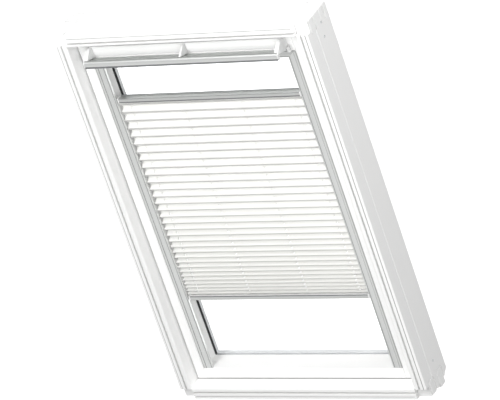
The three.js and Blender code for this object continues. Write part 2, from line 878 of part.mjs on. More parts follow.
// Zigzag sheet; the creases are widened through the depth so that its thickness stays even
function makeFabric() {
  const top = topRailUnderside - jointGap;
  const bottom = bottomRailUnderside + railHeight + jointGap;
  const folds = [];
  const fold = (y, z, pitch) => folds.push({ y, z, spread: fabricThickness * pleatLeg / pitch });
  let height = top;
  for (const pitch of pleatPitches(top - bottom)) {
    const reach = Math.sqrt(pleatLeg ** 2 - (pitch / 2) ** 2) / 2;
    if (folds.length === 0) fold(railMiddle, top, pitch);
    fold(railMiddle - reach, height - pitch / 4, pitch);
    fold(railMiddle + reach, height - pitch * 3 / 4, pitch);
    height -= pitch;
    if (height < bottom + pitch / 2) fold(railMiddle, bottom, pitch);
  }
  const front = folds.map(({ y, z, spread }) => [y - spread, z]);
  const back = folds.map(({ y, z, spread }) => [y + spread, z]).reverse();
  const edge = channelInner - fabricSideGap;
  return extrude('x', [...front, ...back], -edge, edge);
}

// Cord that runs straight up inside a channel, seated in a rail's tongue
function makeCord(side, bottom, top) {
  const geometry = new THREE.CylinderGeometry(cordRadius, cordRadius, top - bottom, steps.cord);
  geometry.rotateX(Math.PI / 2);
  geometry.translate(side * cordPlace, tongueMiddle, (bottom + top) / 2);
  return geometry;
}

// Plug that closes a channel's lower end and holds the cord
function makeChannelFoot(side) {
  const inside = side * (channelInner + channelWall + jointGap);
  const outside = side * (channelEdge - channelWall - jointGap);
  const front = revealDepth + channelFaceDrop + channelGrooveDepth + channelWall + jointGap;
  return box(
    Math.min(inside, outside), Math.max(inside, outside),
    front, front + channelFootDepth,
    sashOpeningBottom + jointGap, channelFootTop,
  );
}

function group(children) {
  const parent = new THREE.Group();
  parent.add(...children);
  return parent;
}

function sidePieces(name, make, look) {
  return [piece(`${name}_left`, make(-1), look), piece(`${name}_right`, make(1), look)];
}

const frame = group([
  piece('frame_head', makeHead(), materials.lacquer),
  piece('frame_sill', makeSill(), materials.lacquer),
  ...sidePieces('frame_jamb', makeJamb, materials.lacquer),
  piece('frame_gasket', gasketRing(0), materials.rubber),
  ...sidePieces('frame_pivot', makeFramePivot, materials.steel),
  piece('striker_plate', makeStriker(), materials.steel),
]);

const settingBlocks = [-1, 1].map((side) => {
  const bottom = sashBottom + bottomRebateWall + layerGap;
  const block = piece(
    side < 0 ? 'setting_block_left' : 'setting_block_right',
    box(
      -blockLength / 2, blockLength / 2, innerPanePlace, outerPanePlace + paneThickness,
      bottom, glassRectangle[2] - layerGap,
    ),
    materials.rubber,
  );
  block.position.x = side * blockPlace;
  return block;
});

const sash = group([
  piece('sash_top_rail', makeSashTopRail(), materials.lacquer),
  piece('sash_bottom_rail', makeSashBottomRail(), materials.lacquer),
  ...sidePieces('sash_stile', makeStile, materials.lacquer),
  ...sidePieces('sash_pivot', makeSashPivot, materials.steel),
  piece('inner_seal', makeInnerSeal(), materials.rubber),
  piece('inner_pane', pane(innerPanePlace), materials.glass),
  piece('glass_spacer', makeSpacer(), materials.spacer),
  piece('outer_pane', pane(outerPanePlace), materials.glass),
  piece('outer_seal', makeOuterSeal(), materials.rubber),
  ...settingBlocks,
  ...['left', 'right', 'bottom', 'top'].map((side) => (
    piece(`sash_cladding_${side}`, makeCladding(side), materials.cladding)
  )),
  piece('lock_case', lockBox(0), materials.steel),
  piece('air_filter', makeFilter(), materials.foam),
  ...sidePieces('flap_housing', makeHousing, materials.plastic),
  piece('flap_hinge_pin', makeFlapPin(), materials.steel),
]);

// A bracket or cap placed across the window
function placedSlab(name, outline, thickness, place) {
  const mesh = piece(name, slab(outline, thickness), materials.plastic);
  mesh.position.x = place;
  return mesh;
}

const capPlace = barHalfLength + jointGap + endCapThickness / 2;
const handleBar = extrude('x', fromPin(barOutline()), -barHalfLength, barHalfLength);
const handle = group([
  piece('vent_flap', makeFlap(), materials.plastic),
  piece('handle_bar', handleBar, materials.aluminium),
  placedSlab('flap_bracket_left', bracketOutline(), bracketThickness, -bracketPlace),
  placedSlab('flap_bracket_middle', bracketOutline(), middleBracketThickness, 0),
  placedSlab('flap_bracket_right', bracketOutline(), bracketThickness, bracketPlace),
  placedSlab('bar_end_cap_left', endCapOutline(), endCapThickness, -capPlace),
  placedSlab('bar_end_cap_right', endCapOutline(), endCapThickness, capPlace),
]);

// Underside and top of the tongue on a rail's shoes
function tongueBottom(underside) {
  return underside + (railHeight - shoeTongueHeight) / 2;
}

function tongueTop(underside) {
  return tongueBottom(underside) + shoeTongueHeight;
}

const channelFootTop = sashOpeningBottom + jointGap + channelFootThickness;
const profileUnderside = topProfileEdge - channelWall;
const blind = group([
  piece('blind_top_profile', makeTopProfile(), materials.aluminium),
  ...sidePieces('side_channel', makeChannel, materials.aluminium),
  piece('blind_top_rail', makeRail(topRailUnderside, true), materials.aluminium),
  ...sidePieces('top_rail_shoe', (side) => makeShoe(side, topRailUnderside), materials.plastic),
  piece('blind_bottom_rail', makeRail(bottomRailUnderside, false), materials.aluminium),
  ...sidePieces('bottom_rail_shoe', (side) => makeShoe(side, bottomRailUnderside), materials.plastic),
  piece('pleated_fabric', makeFabric(), materials.fabric),
  ...sidePieces('channel_foot', makeChannelFoot, materials.plastic),
  ...sidePieces('upper_cord', (side) => (
    makeCord(side, tongueTop(topRailUnderside) + jointGap, profileUnderside - jointGap)
  ), materials.cord),
  ...sidePieces('lower_cord', (side) => (
    makeCord(side, channelFootTop + jointGap, tongueBottom(bottomRailUnderside) - jointGap)
  ), materials.cord),
]);

// The origin is under the middle of the whole window's box, level with the drip nose
const window3d = group([frame, sash, handle, blind]);
const roomMost = flapPinPlace - barReach;
window3d.position.set(0, -(roomMost + frameDepth) / 2, noseDrop);

export default window3d;
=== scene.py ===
"""Looks of a centre-pivot roof window with a pleated blind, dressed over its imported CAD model."""

import json
import logging
import math
from collections.abc import Callable, Sequence
from dataclasses import dataclass, field
from enum import Enum
from functools import cache

import bmesh
import bpy
from mathutils import Matrix, Vector

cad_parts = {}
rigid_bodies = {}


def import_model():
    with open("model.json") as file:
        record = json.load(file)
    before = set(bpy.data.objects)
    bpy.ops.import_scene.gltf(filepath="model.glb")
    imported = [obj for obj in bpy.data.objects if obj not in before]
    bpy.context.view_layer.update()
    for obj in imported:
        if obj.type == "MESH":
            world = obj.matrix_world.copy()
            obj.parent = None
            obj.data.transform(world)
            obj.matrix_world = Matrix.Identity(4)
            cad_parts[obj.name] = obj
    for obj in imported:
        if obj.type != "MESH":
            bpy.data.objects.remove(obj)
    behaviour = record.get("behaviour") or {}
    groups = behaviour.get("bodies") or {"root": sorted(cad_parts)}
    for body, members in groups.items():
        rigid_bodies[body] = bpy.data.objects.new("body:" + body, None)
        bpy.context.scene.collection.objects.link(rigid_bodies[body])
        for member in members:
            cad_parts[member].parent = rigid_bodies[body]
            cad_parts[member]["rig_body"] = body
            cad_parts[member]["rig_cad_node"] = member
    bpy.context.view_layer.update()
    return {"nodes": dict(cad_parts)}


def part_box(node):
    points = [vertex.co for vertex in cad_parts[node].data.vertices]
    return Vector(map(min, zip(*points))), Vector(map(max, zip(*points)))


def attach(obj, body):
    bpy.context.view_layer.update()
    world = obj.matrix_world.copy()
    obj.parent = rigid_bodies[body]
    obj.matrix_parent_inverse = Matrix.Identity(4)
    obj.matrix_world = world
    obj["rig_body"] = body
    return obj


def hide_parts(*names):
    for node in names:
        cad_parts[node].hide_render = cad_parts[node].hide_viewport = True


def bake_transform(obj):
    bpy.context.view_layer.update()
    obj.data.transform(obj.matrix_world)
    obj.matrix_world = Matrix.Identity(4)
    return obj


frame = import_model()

log = logging.getLogger("roof_window")

MM = 0.001
WHITE = (1.0, 1.0, 1.0, 1.0)
BLACK = (0.0, 0.0, 0.0, 1.0)
CORD_PLACES = (-0.254, -0.0903, 0.0903, 0.254)
PLEAT_LEG = 20 * MM
EDGES = ("left", "right", "bottom", "top")

Colour = tuple[float, float, float]
Place = tuple[float, float, float]
Socket = bpy.types.NodeSocket
Thing = bpy.types.Object
FaceTest = Callable[[bpy.types.MeshPolygon], bool]


class Side(Enum):
    """Left and right of the window, seen from the room."""

    LEFT = 0
    RIGHT = 1

    @property
    def label(self) -> str:
        """Gives the side's name as the CAD nodes have it."""
        return self.name.lower()


class Way(Enum):
    """Direction that a face looks in, seen from the room."""

    LEFT = (-1.0, 0.0, 0.0)
    RIGHT = (1.0, 0.0, 0.0)
    BACK = (0.0, 1.0, 0.0)
    UP = (0.0, 0.0, 1.0)
    DOWN = (0.0, 0.0, -1.0)

    @property
    def vector(self) -> Vector:
        """Gives the direction as a unit vector."""
        return Vector(self.value)


class Level(Enum):
    """Which of the blind's two rails."""

    TOP = "top"
    BOTTOM = "bottom"

    @property
    def rail(self) -> str:
        """Gives the name of the rail's CAD body."""
        return f"{self.value}_rail"


class Graph:
    """Adds, feeds and links the nodes of one shader tree."""

    def __init__(self, tree: bpy.types.NodeTree) -> None:
        """Starts on a tree and empties it."""
        self.tree = tree
        self.tree.nodes.clear()

    def feed(self, node: bpy.types.Node, sources: dict[str | int, object]) -> None:
        """Links a node's inputs to other sockets, or sets their values.

        Args:
            node: the node.
            sources: a socket, number or tuple for each input, by the input's name or number.
        """
        for place, source in sources.items():
            if isinstance(source, Socket):
                self.tree.links.new(source, node.inputs[place])
            else:
                node.inputs[place].default_value = source

    def add(
        self, kind: str, sources: dict[str | int, object] | None = None, **settings: object
    ) -> bpy.types.Node:
        """Adds a node and feeds it.

        Args:
            kind: the node's type name.
            sources: what goes into its inputs.
            settings: attributes to set on it.

        Returns:
            The new node.
        """
        node = self.tree.nodes.new(kind)
        for name, value in settings.items():
            setattr(node, name, value)
        self.feed(node, sources or {})
        return node

    def where(self, kind: str) -> Socket:
        """Gives the texture coordinates of a kind, such as Object or UV."""
        return self.add("ShaderNodeTexCoord").outputs[kind]

    def calc(self, operation: str, first: object, second: object = 0.0) -> Socket:
        """Gives what a math node makes of two numbers or sockets."""
        return self.add("ShaderNodeMath", {0: first, 1: second}, operation=operation).outputs[0]

    def ramp(
        self, value: object, low: object, high: object,
        limits: Sequence[float] = (0.0, 1.0), kind: str = "LINEAR",
    ) -> Socket:
        """Gives a value, held in its limits, mapped from them onto low to high."""
        places = dict(zip(("From Min", "From Max", "To Min", "To Max"), (*limits, low, high)))
        return self.add("ShaderNodeMapRange", {"Value": value, **places}, interpolation_type=kind).outputs[0]

    def blend(self, share: object, first: object, second: object) -> Socket:
        """Gives the mix of two colours, with a share of the second."""
        return self.add("ShaderNodeMix", {0: share, 6: first, 7: second}, data_type="RGBA").outputs[2]

    def noise(self, vector: object, scale: object, detail: float) -> Socket:
        """Gives a noise texture's value."""
        sources = {"Vector": vector, "Scale": scale, "Detail": detail}
        return self.add("ShaderNodeTexNoise", sources).outputs["Fac"]

    def bump(self, height: Socket, strength: float, depth: float) -> Socket:
        """Gives the normal of a surface that a height raises."""
        sources = {"Height": height, "Strength": strength, "Distance": depth}
        return self.add("ShaderNodeBump", sources).outputs["Normal"]

    def rays(self, *kinds: str) -> Socket:
        """Makes a mask that is 1 for the rays of some kinds.

        Args:
            kinds: the kinds, such as Camera or Glossy.

        Returns:
            The mask's socket.
        """
        path = self.add("ShaderNodeLightPath")
        mask: object = 0.0
        for kind in kinds:
            mask = self.calc("MAXIMUM", mask, path.outputs[f"Is {kind} Ray"])
        return mask


def shader_group(
    name: str, inputs: dict[str, str], outputs: dict[str, str]
) -> tuple[bpy.types.NodeTree, Graph, bpy.types.Node, bpy.types.Node]:
    """Makes an empty shader node group with named sockets.

    Args:
        name: the group's name.
        inputs: socket names and types that go in.
        outputs: socket names and types that come out.

    Returns:
        The group, its graph, and its input and output nodes.
    """
    group = bpy.data.node_groups.new(name, "ShaderNodeTree")
    for way, sockets in (("INPUT", inputs), ("OUTPUT", outputs)):
        for label, kind in sockets.items():
            group.interface.new_socket(name=label, in_out=way, socket_type=f"NodeSocket{kind}")
    graph = Graph(group)
    return group, graph, graph.add("NodeGroupInput"), graph.add("NodeGroupOutput")


@cache
def grain_group() -> bpy.types.NodeTree:
    """Makes, once, the group for a surface whose tone drifts slowly and whose skin has a fine grain.

    Returns:
        The node group.
    """
    inputs = {
        "Vector": "Vector", "Colour": "Color", "Tint": "Color", "Patch Scale": "Float",
        "Grain Scale": "Float", "Smooth": "Float", "Rough": "Float",
    }
    outputs = {"Colour": "Color", "Roughness": "Float", "Height": "Float"}
    group, graph, given, result = shader_group("surface_grain", inputs, outputs)
    patch_detail, grain_detail = 3.0, 4.0
    patches = graph.noise(given.outputs["Vector"], given.outputs["Patch Scale"], patch_detail)
    grain = graph.noise(given.outputs["Vector"], given.outputs["Grain Scale"], grain_detail)
    graph.feed(result, {
        "Colour": graph.blend(patches, given.outputs["Colour"], given.outputs["Tint"]),
        "Roughness": graph.ramp(grain, given.outputs["Smooth"], given.outputs["Rough"]),
        "Height": grain,
    })
    return group


@cache
def thread_group() -> bpy.types.NodeTree:
    """Makes, once, the group for crossed threads, read from a map in metres, with uneven yarn.

    Returns:
        The node group.
    """
    inputs = {"Vector": "Vector", "Colour": "Color", "Shade": "Color", "Threads": "Float"}
    outputs = {"Colour": "Color", "Height": "Float"}
    group, graph, given, result = shader_group("crossed_threads", inputs, outputs)
    apart = graph.add("ShaderNodeSeparateXYZ", {0: given.outputs["Vector"]})
    waves = []
    for across in apart.outputs[:2]:
        turns = graph.calc("MULTIPLY", across, given.outputs["Threads"])
        wave = graph.calc("SINE", graph.calc("MULTIPLY", turns, math.tau))
        waves.append(graph.calc("ABSOLUTE", wave))
    slub_scale, slub_detail = 160.0, 4.0
    slub = graph.noise(given.outputs["Vector"], slub_scale, slub_detail)
    weave = graph.calc("MULTIPLY", *waves)
    share = graph.calc("MULTIPLY", graph.calc("ADD", weave, slub), 0.5)
    tone = graph.blend(share, given.outputs["Shade"], given.outputs["Colour"])
    graph.feed(result, {"Colour": tone, "Height": share})
    return group


@dataclass(frozen=True)
class Finish:
    """A finish, known by its material's name; each kind wires its own shader."""

    name: str

    def wire(self, graph: Graph, shader: bpy.types.Node) -> None:
        """Feeds the material's Principled shader."""
        raise NotImplementedError

    @cache
    def material(self) -> bpy.types.Material:
        """Builds the material when it is first asked for.

        Returns:
            The material.
        """
        material = bpy.data.materials.new(self.name)
        material.use_nodes = True
        graph = Graph(material.node_tree)
        shader = graph.add("ShaderNodeBsdfPrincipled")
        graph.add("ShaderNodeOutputMaterial", {"Surface": shader.outputs["BSDF"]})
        self.wire(graph, shader)
        return material


@dataclass(frozen=True)
class Coating(Finish):
    """A painted, moulded or metal surface with a slow drift in tone and a fine grain."""

    slot: str
    colour: Colour
    tint: Colour
    smooth: float
    rough: float
    metallic: float = 0.0
    coat: float = 0.0
    patch_scale: float = 7.0
    grain_scale: float = 900.0
    stretch: Place = (1.0, 1.0, 1.0)
    bump: float = 0.1
    depth: float = 0.05 * MM
    map_from: str = "Object"

    def wire(self, graph: Graph, shader: bpy.types.Node) -> None:
        """Feeds the Principled shader from the shared grain.

        Args:
            graph: the material's graph.
            shader: its Principled node.
        """
        spread = {"Vector": graph.where(self.map_from), "Scale": self.stretch}
        sources = {
            "Vector": graph.add("ShaderNodeMapping", spread).outputs["Vector"],
            "Colour": (*self.colour, 1.0), "Tint": (*self.tint, 1.0),
            "Patch Scale": self.patch_scale, "Grain Scale": self.grain_scale,
            "Smooth": self.smooth, "Rough": self.rough,
        }
        grain = graph.add("ShaderNodeGroup", sources, node_tree=grain_group())
        graph.feed(shader, {
            "Base Color": grain.outputs["Colour"],
            "Roughness": grain.outputs["Roughness"],
            "Normal": graph.bump(grain.outputs["Height"], self.bump, self.depth),
            "Metallic": self.metallic,
            "Coat Weight": self.coat,
        })


@dataclass(frozen=True)
class ClearGlass(Finish):
    """Float glass, faintly green, with a breath of dust on it."""

    name: str = "clear_glass"
    colour: Colour = (0.992, 1.0, 0.996)
    haze: float = 0.015
    dust_scale: float = 5.0
    dust_detail: float = 5.0
    kept_share: float = 0.08
    refraction: float = 1.45

    def wire(self, graph: Graph, shader: bpy.types.Node) -> None:
        """Feeds the Principled shader, and lets the light through with little shadow.

        Args:
            graph: the material's graph.
            shader: its Principled node.
        """
        dust = graph.noise(graph.where("Object"), self.dust_scale, self.dust_detail)
        graph.feed(shader, {
            "Base Color": (*self.colour, 1.0),
            "Roughness": graph.ramp(dust, 0.0, self.haze),
            "Alpha": graph.ramp(graph.rays("Shadow", "Diffuse"), 1.0, self.kept_share),
            "Transmission Weight": 1.0,
            "IOR": self.refraction,
        })


@dataclass(frozen=True)
class PleatCloth(Finish):
    """Matt woven polyester, punched once in every leg for each of its cords."""

    slot: str
    colour: Colour
    shade: Colour
    leg: float = PLEAT_LEG
    hole_radius: float = 2.2 * MM
    cord_places: tuple[float, ...] = CORD_PLACES
    threads: float = 1600.0
    # The next two fields paint shade along the creases that point into the room: how far it reaches and how
    # dark it gets.
    pressed_reach: float = 4 * MM
    pressed_tone: float = 0.45
    bump: float = 0.25
    depth: float = 0.1 * MM
    roughness: float = 0.85
    sheen: float = 0.15

    def punched(self, graph: Graph, across: Socket, along: Socket) -> Socket:
        """Makes a mask that is 0 in the cord holes and 1 elsewhere.

        Args:
            graph: the material's graph.
            across: socket with the place across the cloth, in metres.
            along: socket with the length along the pleats, in metres.

        Returns:
            The mask's socket.
        """
        nearest: object = 1.0
        for place in self.cord_places:
            gap = graph.calc("ABSOLUTE", graph.calc("SUBTRACT", across, place))
            nearest = graph.calc("MINIMUM", nearest, gap)
        turn = graph.calc("PINGPONG", along, self.leg / 2)
        squares = graph.calc("ADD", graph.calc("POWER", nearest, 2), graph.calc("POWER", turn, 2))
        return graph.calc("GREATER_THAN", graph.calc("SQRT", squares), self.hole_radius)

    def pressed(self, graph: Graph, along: Socket) -> Socket:
        """Gives the tone of the painted shade on the creases that point into the room, and 1 away from the
        creases.
        """
        gap = graph.calc("PINGPONG", graph.calc("SUBTRACT", along, self.leg / 2), self.leg)
        return graph.ramp(gap, self.pressed_tone, 1.0, (0.0, self.pressed_reach))

    def wire(self, graph: Graph, shader: bpy.types.Node) -> None:
        """Feeds the Principled shader from the shared threads, the painted shade on the creases and the
        holes.

        Args:
            graph: the material's graph.
            shader: its Principled node.
        """
        where = graph.where("UV")
        across, along = graph.add("ShaderNodeSeparateXYZ", {0: where}).outputs[:2]
        sources = {
            "Vector": where, "Threads": self.threads,
            "Colour": (*self.colour, 1.0), "Shade": (*self.shade, 1.0),
        }
        weave = graph.add("ShaderNodeGroup", sources, node_tree=thread_group())
        graph.feed(shader, {
            # Painted shade: black blended into the weave's colour near the front creases.
            "Base Color": graph.blend(self.pressed(graph, along), BLACK, weave.outputs["Colour"]),
            "Normal": graph.bump(weave.outputs["Height"], self.bump, self.depth),
            "Alpha": self.punched(graph, across, along),
            "Roughness": self.roughness,
            "Sheen Weight": self.sheen,
        })


@dataclass(frozen=True)
class PaleFloor(Finish):
    """Plain floor that the camera sees white, painted darker near the window: painted shade for the light
    that it throws back and for what metal reflects of it.
    """

    name: str = "pale_floor"
    shade: float = 0.15
    tone: float = 0.5
    reach: tuple[float, float] = (0.9, 2.2)
    roughness: float = 0.9
    glow: float = 1.0
    gleam: float = 0.5

    def wire(self, graph: Graph, shader: bpy.types.Node) -> None:
        """Feeds the Principled shader by the distance from the window.

        Args:
            graph: the material's graph.
            shader: its Principled node.
        """
        away = graph.add("ShaderNodeVectorMath", {0: graph.where("Object")}, operation="LENGTH")
        # Painted shade and painted reflection: the floor's colour and its glow for glossy rays fall off
        # towards the window.
        share = graph.ramp(away.outputs["Value"], 0.0, 1.0, self.reach)
        glow = graph.ramp(graph.rays("Camera", "Transmission"), 0.0, self.glow)
        gleam = graph.calc("MULTIPLY", graph.rays("Glossy"), graph.ramp(share, 0.0, self.gleam))
        graph.feed(shader, {
            "Base Color": graph.blend(share, (*(self.shade,) * 3, 1.0), (*(self.tone,) * 3, 1.0)),
            "Roughness": self.roughness,
            "Emission Color": WHITE,
            "Emission Strength": graph.calc("ADD", glow, gleam),
        })


class Finishes:
    """Every finish in the scene."""

    lacquer = Coating(
        "white_lacquer", "lacquer", (0.93, 0.93, 0.925), (0.915, 0.915, 0.908), 0.3, 0.42, coat=0.15
    )
    # The frame's white lacquer a little brighter: painted light for the sash in its shaded recess.
    inner_lacquer = Coating(
        "sash_lacquer", "lacquer", (0.95, 0.95, 0.945), (0.935, 0.935, 0.928), 0.28, 0.4, coat=0.15
    )
    plastic = Coating(
        "white_plastic", "plastic", (0.94, 0.94, 0.935), (0.925, 0.925, 0.92), 0.3, 0.45, grain_scale=1500.0
    )
    # The white plastic greyed: painted shade for the brackets, end caps and flap housings.
    shaded_plastic = Coating(
        "grey_white_plastic", "plastic", (0.78, 0.785, 0.78), (0.76, 0.765, 0.76), 0.3, 0.45,
        grain_scale=1500.0,
    )
    across_metal = Coating(
        "satin_aluminium_across", "aluminium", (0.62, 0.63, 0.62), (0.57, 0.58, 0.57), 0.25, 0.38,
        metallic=1.0, stretch=(0.02, 1.0, 1.0), grain_scale=1800.0, bump=0.15,
    )
    upright_metal = Coating(
        "satin_aluminium_upright", "aluminium", (0.74, 0.75, 0.74), (0.69, 0.7, 0.69), 0.25, 0.38,
        metallic=1.0, stretch=(1.0, 1.0, 0.02), grain_scale=1800.0, bump=0.15,
    )
    # Darker aluminium for the handle bar's upper side: painted shade.
    dull_metal = Coating(
        "dull_aluminium", "aluminium", (0.43, 0.44, 0.43), (0.39, 0.4, 0.39), 0.3, 0.42, metallic=1.0
    )
    cladding = Coating(
        "grey_cladding", "cladding", (0.1, 0.105, 0.11), (0.085, 0.09, 0.095), 0.42, 0.6, grain_scale=1400.0
    )
    steel = Coating(
        "zinc_plated_steel", "steel", (0.56, 0.57, 0.58), (0.47, 0.48, 0.5), 0.25, 0.4,
        metallic=1.0, patch_scale=60.0,
    )
    rubber = Coating(
        "black_rubber", "seal", (0.025, 0.026, 0.028), (0.035, 0.036, 0.038), 0.55, 0.75, bump=0.3
    )
    # Dark grey for strips laid in grooves, rebates and under the handle bar: painted shade.
    lip = Coating("grey_sealing_lip", "seal", (0.17, 0.175, 0.18), (0.14, 0.145, 0.15), 0.5, 0.7, bump=0.2)
    # Greyer lacquer for the insides of the lining grooves: painted shade.
    groove = Coating("groove_primer", "lacquer", (0.82, 0.82, 0.81), (0.79, 0.79, 0.78), 0.5, 0.7)
    # Grey for the beads in the frame's steps, the gap below the sash and the channels' outer edges: painted
    # shade.
    sealant = Coating("grey_sealant", "seal", (0.42, 0.42, 0.415), (0.38, 0.38, 0.375), 0.55, 0.75)
    spacer = Coating("spacer_strip", "spacer", (0.82, 0.835, 0.855), (0.78, 0.79, 0.81), 0.35, 0.5)
    foam = Coating(
        "filter_foam", "foam", (0.12, 0.125, 0.13), (0.07, 0.075, 0.08), 0.85, 1.0,
        patch_scale=500.0, bump=0.8, depth=0.4 * MM,
    )
    cord = Coating(
        "braided_cord", "cord", (0.8, 0.8, 0.78), (0.68, 0.68, 0.66), 0.75, 0.9,
        patch_scale=40.0, grain_scale=300.0, bump=0.4, map_from="UV",
    )
    glass = ClearGlass()
    cloth = PleatCloth("pleat_cloth", "pleated_cloth", (0.9, 0.9, 0.88), (0.86, 0.86, 0.84))
    floor = PaleFloor()


def coat(thing: Thing, finish: Finish) -> None:
    """Makes a finish an object's only material."""
    thing.data.materials.clear()
    thing.data.materials.append(finish.material())


class Bench:
    """Modelling moves on one object, done as by hand with the edit tools."""

    weld: float = 0.001 * MM
    flat_angle: float = math.radians(1.0)
    sharp_angle: float = math.radians(25.0)
    room_share: float = 0.4
    facing_share: float = 0.99
    area_weight: int = 90

    def __init__(self, thing: Thing, name: str) -> None:
        """Takes an object to the bench.

        Args:
            thing: the object to shape.
            name: the piece's name.
        """
        self.thing = thing
        thing.name = name
        thing.data.name = name

    @staticmethod
    def clear() -> None:
        """Deselects everything."""
        bpy.ops.object.select_all(action="DESELECT")

    @classmethod
    def block(cls, name: str, low: Sequence[float], high: Sequence[float]) -> "Bench":
        """Starts from a cube set between two corners.

        Args:
            name: the piece's name.
            low: lowest corner, in metres.
            high: highest corner, in metres.

        Returns:
            The piece at the bench.
        """
        cls.clear()
        low, high = Vector(low), Vector(high)
        bpy.ops.mesh.primitive_cube_add(size=1.0, location=(low + high) / 2)
        bpy.context.object.scale = high - low
        bpy.ops.object.transform_apply(location=True, rotation=True, scale=True)
        return cls(bpy.context.object, name)

    @classmethod
    def rod(cls, name: str, radius: float, start: Vector, end: Vector, sides: int) -> "Bench":
        """Starts from a cylinder between two points.

        Args:
            name: the piece's name.
            radius: its radius, in metres.
            start: centre of one end.
            end: centre of the other end.
            sides: how many sides.

        Returns:
            The piece at the bench.
        """
        cls.clear()
        way = end - start
        bpy.ops.mesh.primitive_cylinder_add(
            vertices=sides, radius=radius, depth=way.length, location=(start + end) / 2,
            rotation=way.to_track_quat("Z", "Y").to_euler(),
        )
        bpy.ops.object.transform_apply(location=True, rotation=True, scale=True)
        return cls(bpy.context.object, name)

    @classmethod
    def from_node(cls, node: str) -> "Bench":
        """Starts from a merged copy of a CAD node.

        Args:
            node: the CAD node's name.

        Returns:
            The copy at the bench.
        """
        copy = frame["nodes"][node].copy()
        copy.data = copy.data.copy()
        bpy.context.scene.collection.objects.link(copy)
        copy.parent = None
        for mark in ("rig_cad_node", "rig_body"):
            if mark in copy:
                del copy[mark]
        bench = cls(copy, f"{node}_skin")
        bench.edit(lambda: bpy.ops.mesh.remove_doubles(threshold=cls.weld))
        return bench.edit(lambda: bpy.ops.mesh.dissolve_limited(angle_limit=cls.flat_angle))

    def choose(self) -> None:
        """Selects this piece alone and makes it the active one."""
        self.clear()
        bpy.context.view_layer.objects.active = self.thing
        self.thing.select_set(True)

    def edit(self, *moves: Callable[[], object], everything: bool = True) -> "Bench":
        """Runs edit tools on the piece.

        Args:
            moves: calls to make in edit mode, in order.
            everything: select the whole mesh first.

        Returns:
            This bench.
        """
        self.choose()
        bpy.ops.object.mode_set(mode="EDIT")
        if everything:
            bpy.ops.mesh.select_all(action="SELECT")
        for move in moves:
            move()
        bpy.ops.object.mode_set(mode="OBJECT")
        return self

    def facing(self, way: Vector) -> "Bench":
        """Selects only the faces that look one way.

        Args:
            way: direction of their normals.

        Returns:
            This bench.
        """
        self.edit(
            lambda: bpy.ops.mesh.select_mode(type="FACE"),
            lambda: bpy.ops.mesh.select_all(action="DESELECT"),
            everything=False,
        )
        for face in self.thing.data.polygons:
            face.select = face.normal.dot(way) > self.facing_share
        return self

    def modify(self, kind: str, **settings: object) -> "Bench":
        """Adds a modifier and applies it.

        Args:
            kind: the modifier's type.
            settings: attributes to set on it.

        Returns:
            This bench.
        """
        self.choose()
        modifier = self.thing.modifiers.new(kind.lower(), kind)
        for name, value in settings.items():
            setattr(modifier, name, value)
        bpy.ops.object.modifier_apply(modifier=modifier.name)
        return self

    def round_edges(self, width: float, segments: int = 2) -> "Bench":
        """Rounds every sharp outer edge.

        Args:
            width: how far from the edge the rounding starts, in metres.
            segments: faces across the rounding.

        Returns:
            This bench.
        """
        self.weigh_edges(width)
        return self.modify(
            "BEVEL", width=width, segments=segments, limit_method="WEIGHT", use_clamp_overlap=False,
        )

    def weigh_edges(self, width: float) -> None:
        """Weighs the outer edges, so that a rounding stays narrower than what lies beside it.

        Args:
            width: full width of the rounding.
        """
        shape = bmesh.new()
        shape.from_mesh(self.thing.data)
        weights = shape.edges.layers.float.new("bevel_weight_edge")
        for edge in shape.edges:
            if len(edge.link_faces) != 2 or not edge.is_convex or edge.calc_face_angle() < self.sharp_angle:
                continue
            start = edge.verts[0].co
            way = (edge.verts[1].co - start).normalized()
            room = min(
                max((corner.co - start).cross(way).length for corner in face.verts)
                for face in edge.link_faces
            )
            for end in edge.verts:
                for other in end.link_edges:
                    if other is not edge:
                        room = min(room, other.calc_length())
            edge[weights] = min(1.0, self.room_share * room / width)
        shape.to_mesh(self.thing.data)
        shape.free()

    def smooth(self, degrees: float = 40.0) -> "Bench":
        """Shades the piece smooth, apart from its sharp edges.

        Args:
            degrees: angle past which an edge stays sharp.

        Returns:
            This bench.
        """
        self.choose()
        bpy.ops.object.shade_smooth_by_angle(angle=math.radians(degrees))
        return self.modify("WEIGHTED_NORMAL", weight=self.area_weight, keep_sharp=True)

    def row(self, places: dict[str, Sequence[float]]) -> list["Bench"]:
        """Copies the piece to other places, each copy with a mesh of its own.

        Args:
            places: every piece's name and place, this piece's first.

        Returns:
            The piece and its copies at the bench.
        """
        first, *others = places.items()
        pieces = [self]
        for name, place in others:
            twin = self.thing.copy()
            twin.data = self.thing.data.copy()
            twin.data.transform(Matrix.Translation(Vector(place) - Vector(first[1])))
            bpy.context.scene.collection.objects.link(twin)
            pieces.append(Bench(twin, name))
        return pieces

    def dress(self, finish: Coating, body: str) -> Thing:
        """Gives the piece its finish and its body.

        Args:
            finish: the finish.
            body: CAD body that it moves with.

        Returns:
            The finished object.
        """
        coat(self.thing, finish)
        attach(self.thing, body)
        log.info("piece %s on %s", self.thing.name, body)
        return self.thing

    def bend(
        self, finish: Coating | PleatCloth, level: Level, start: Sequence[float], end: Sequence[float]
    ) -> Thing:
        """Gives the piece its finish and bakes its place into its mesh.

        Args:
            finish: the finish.
            level: the rail named in the log.
            start: not used.
            end: not used.

        Returns:
            The finished object.
        """
        coat(self.thing, finish)
        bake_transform(self.thing)
        log.info("piece %s from sash to %s", self.thing.name, level.rail)
        return self.thing


def paint_node(node: str, finish: Finish) -> None:
    """Gives a CAD node its finish."""
    coat(frame["nodes"][node], finish)
    log.info("node %s in %s", node, finish.name)


def pair(name: str) -> tuple[str, ...]:
    """Gives the names of the left and the right one."""
    return tuple(f"{name}_{side.label}" for side in Side)


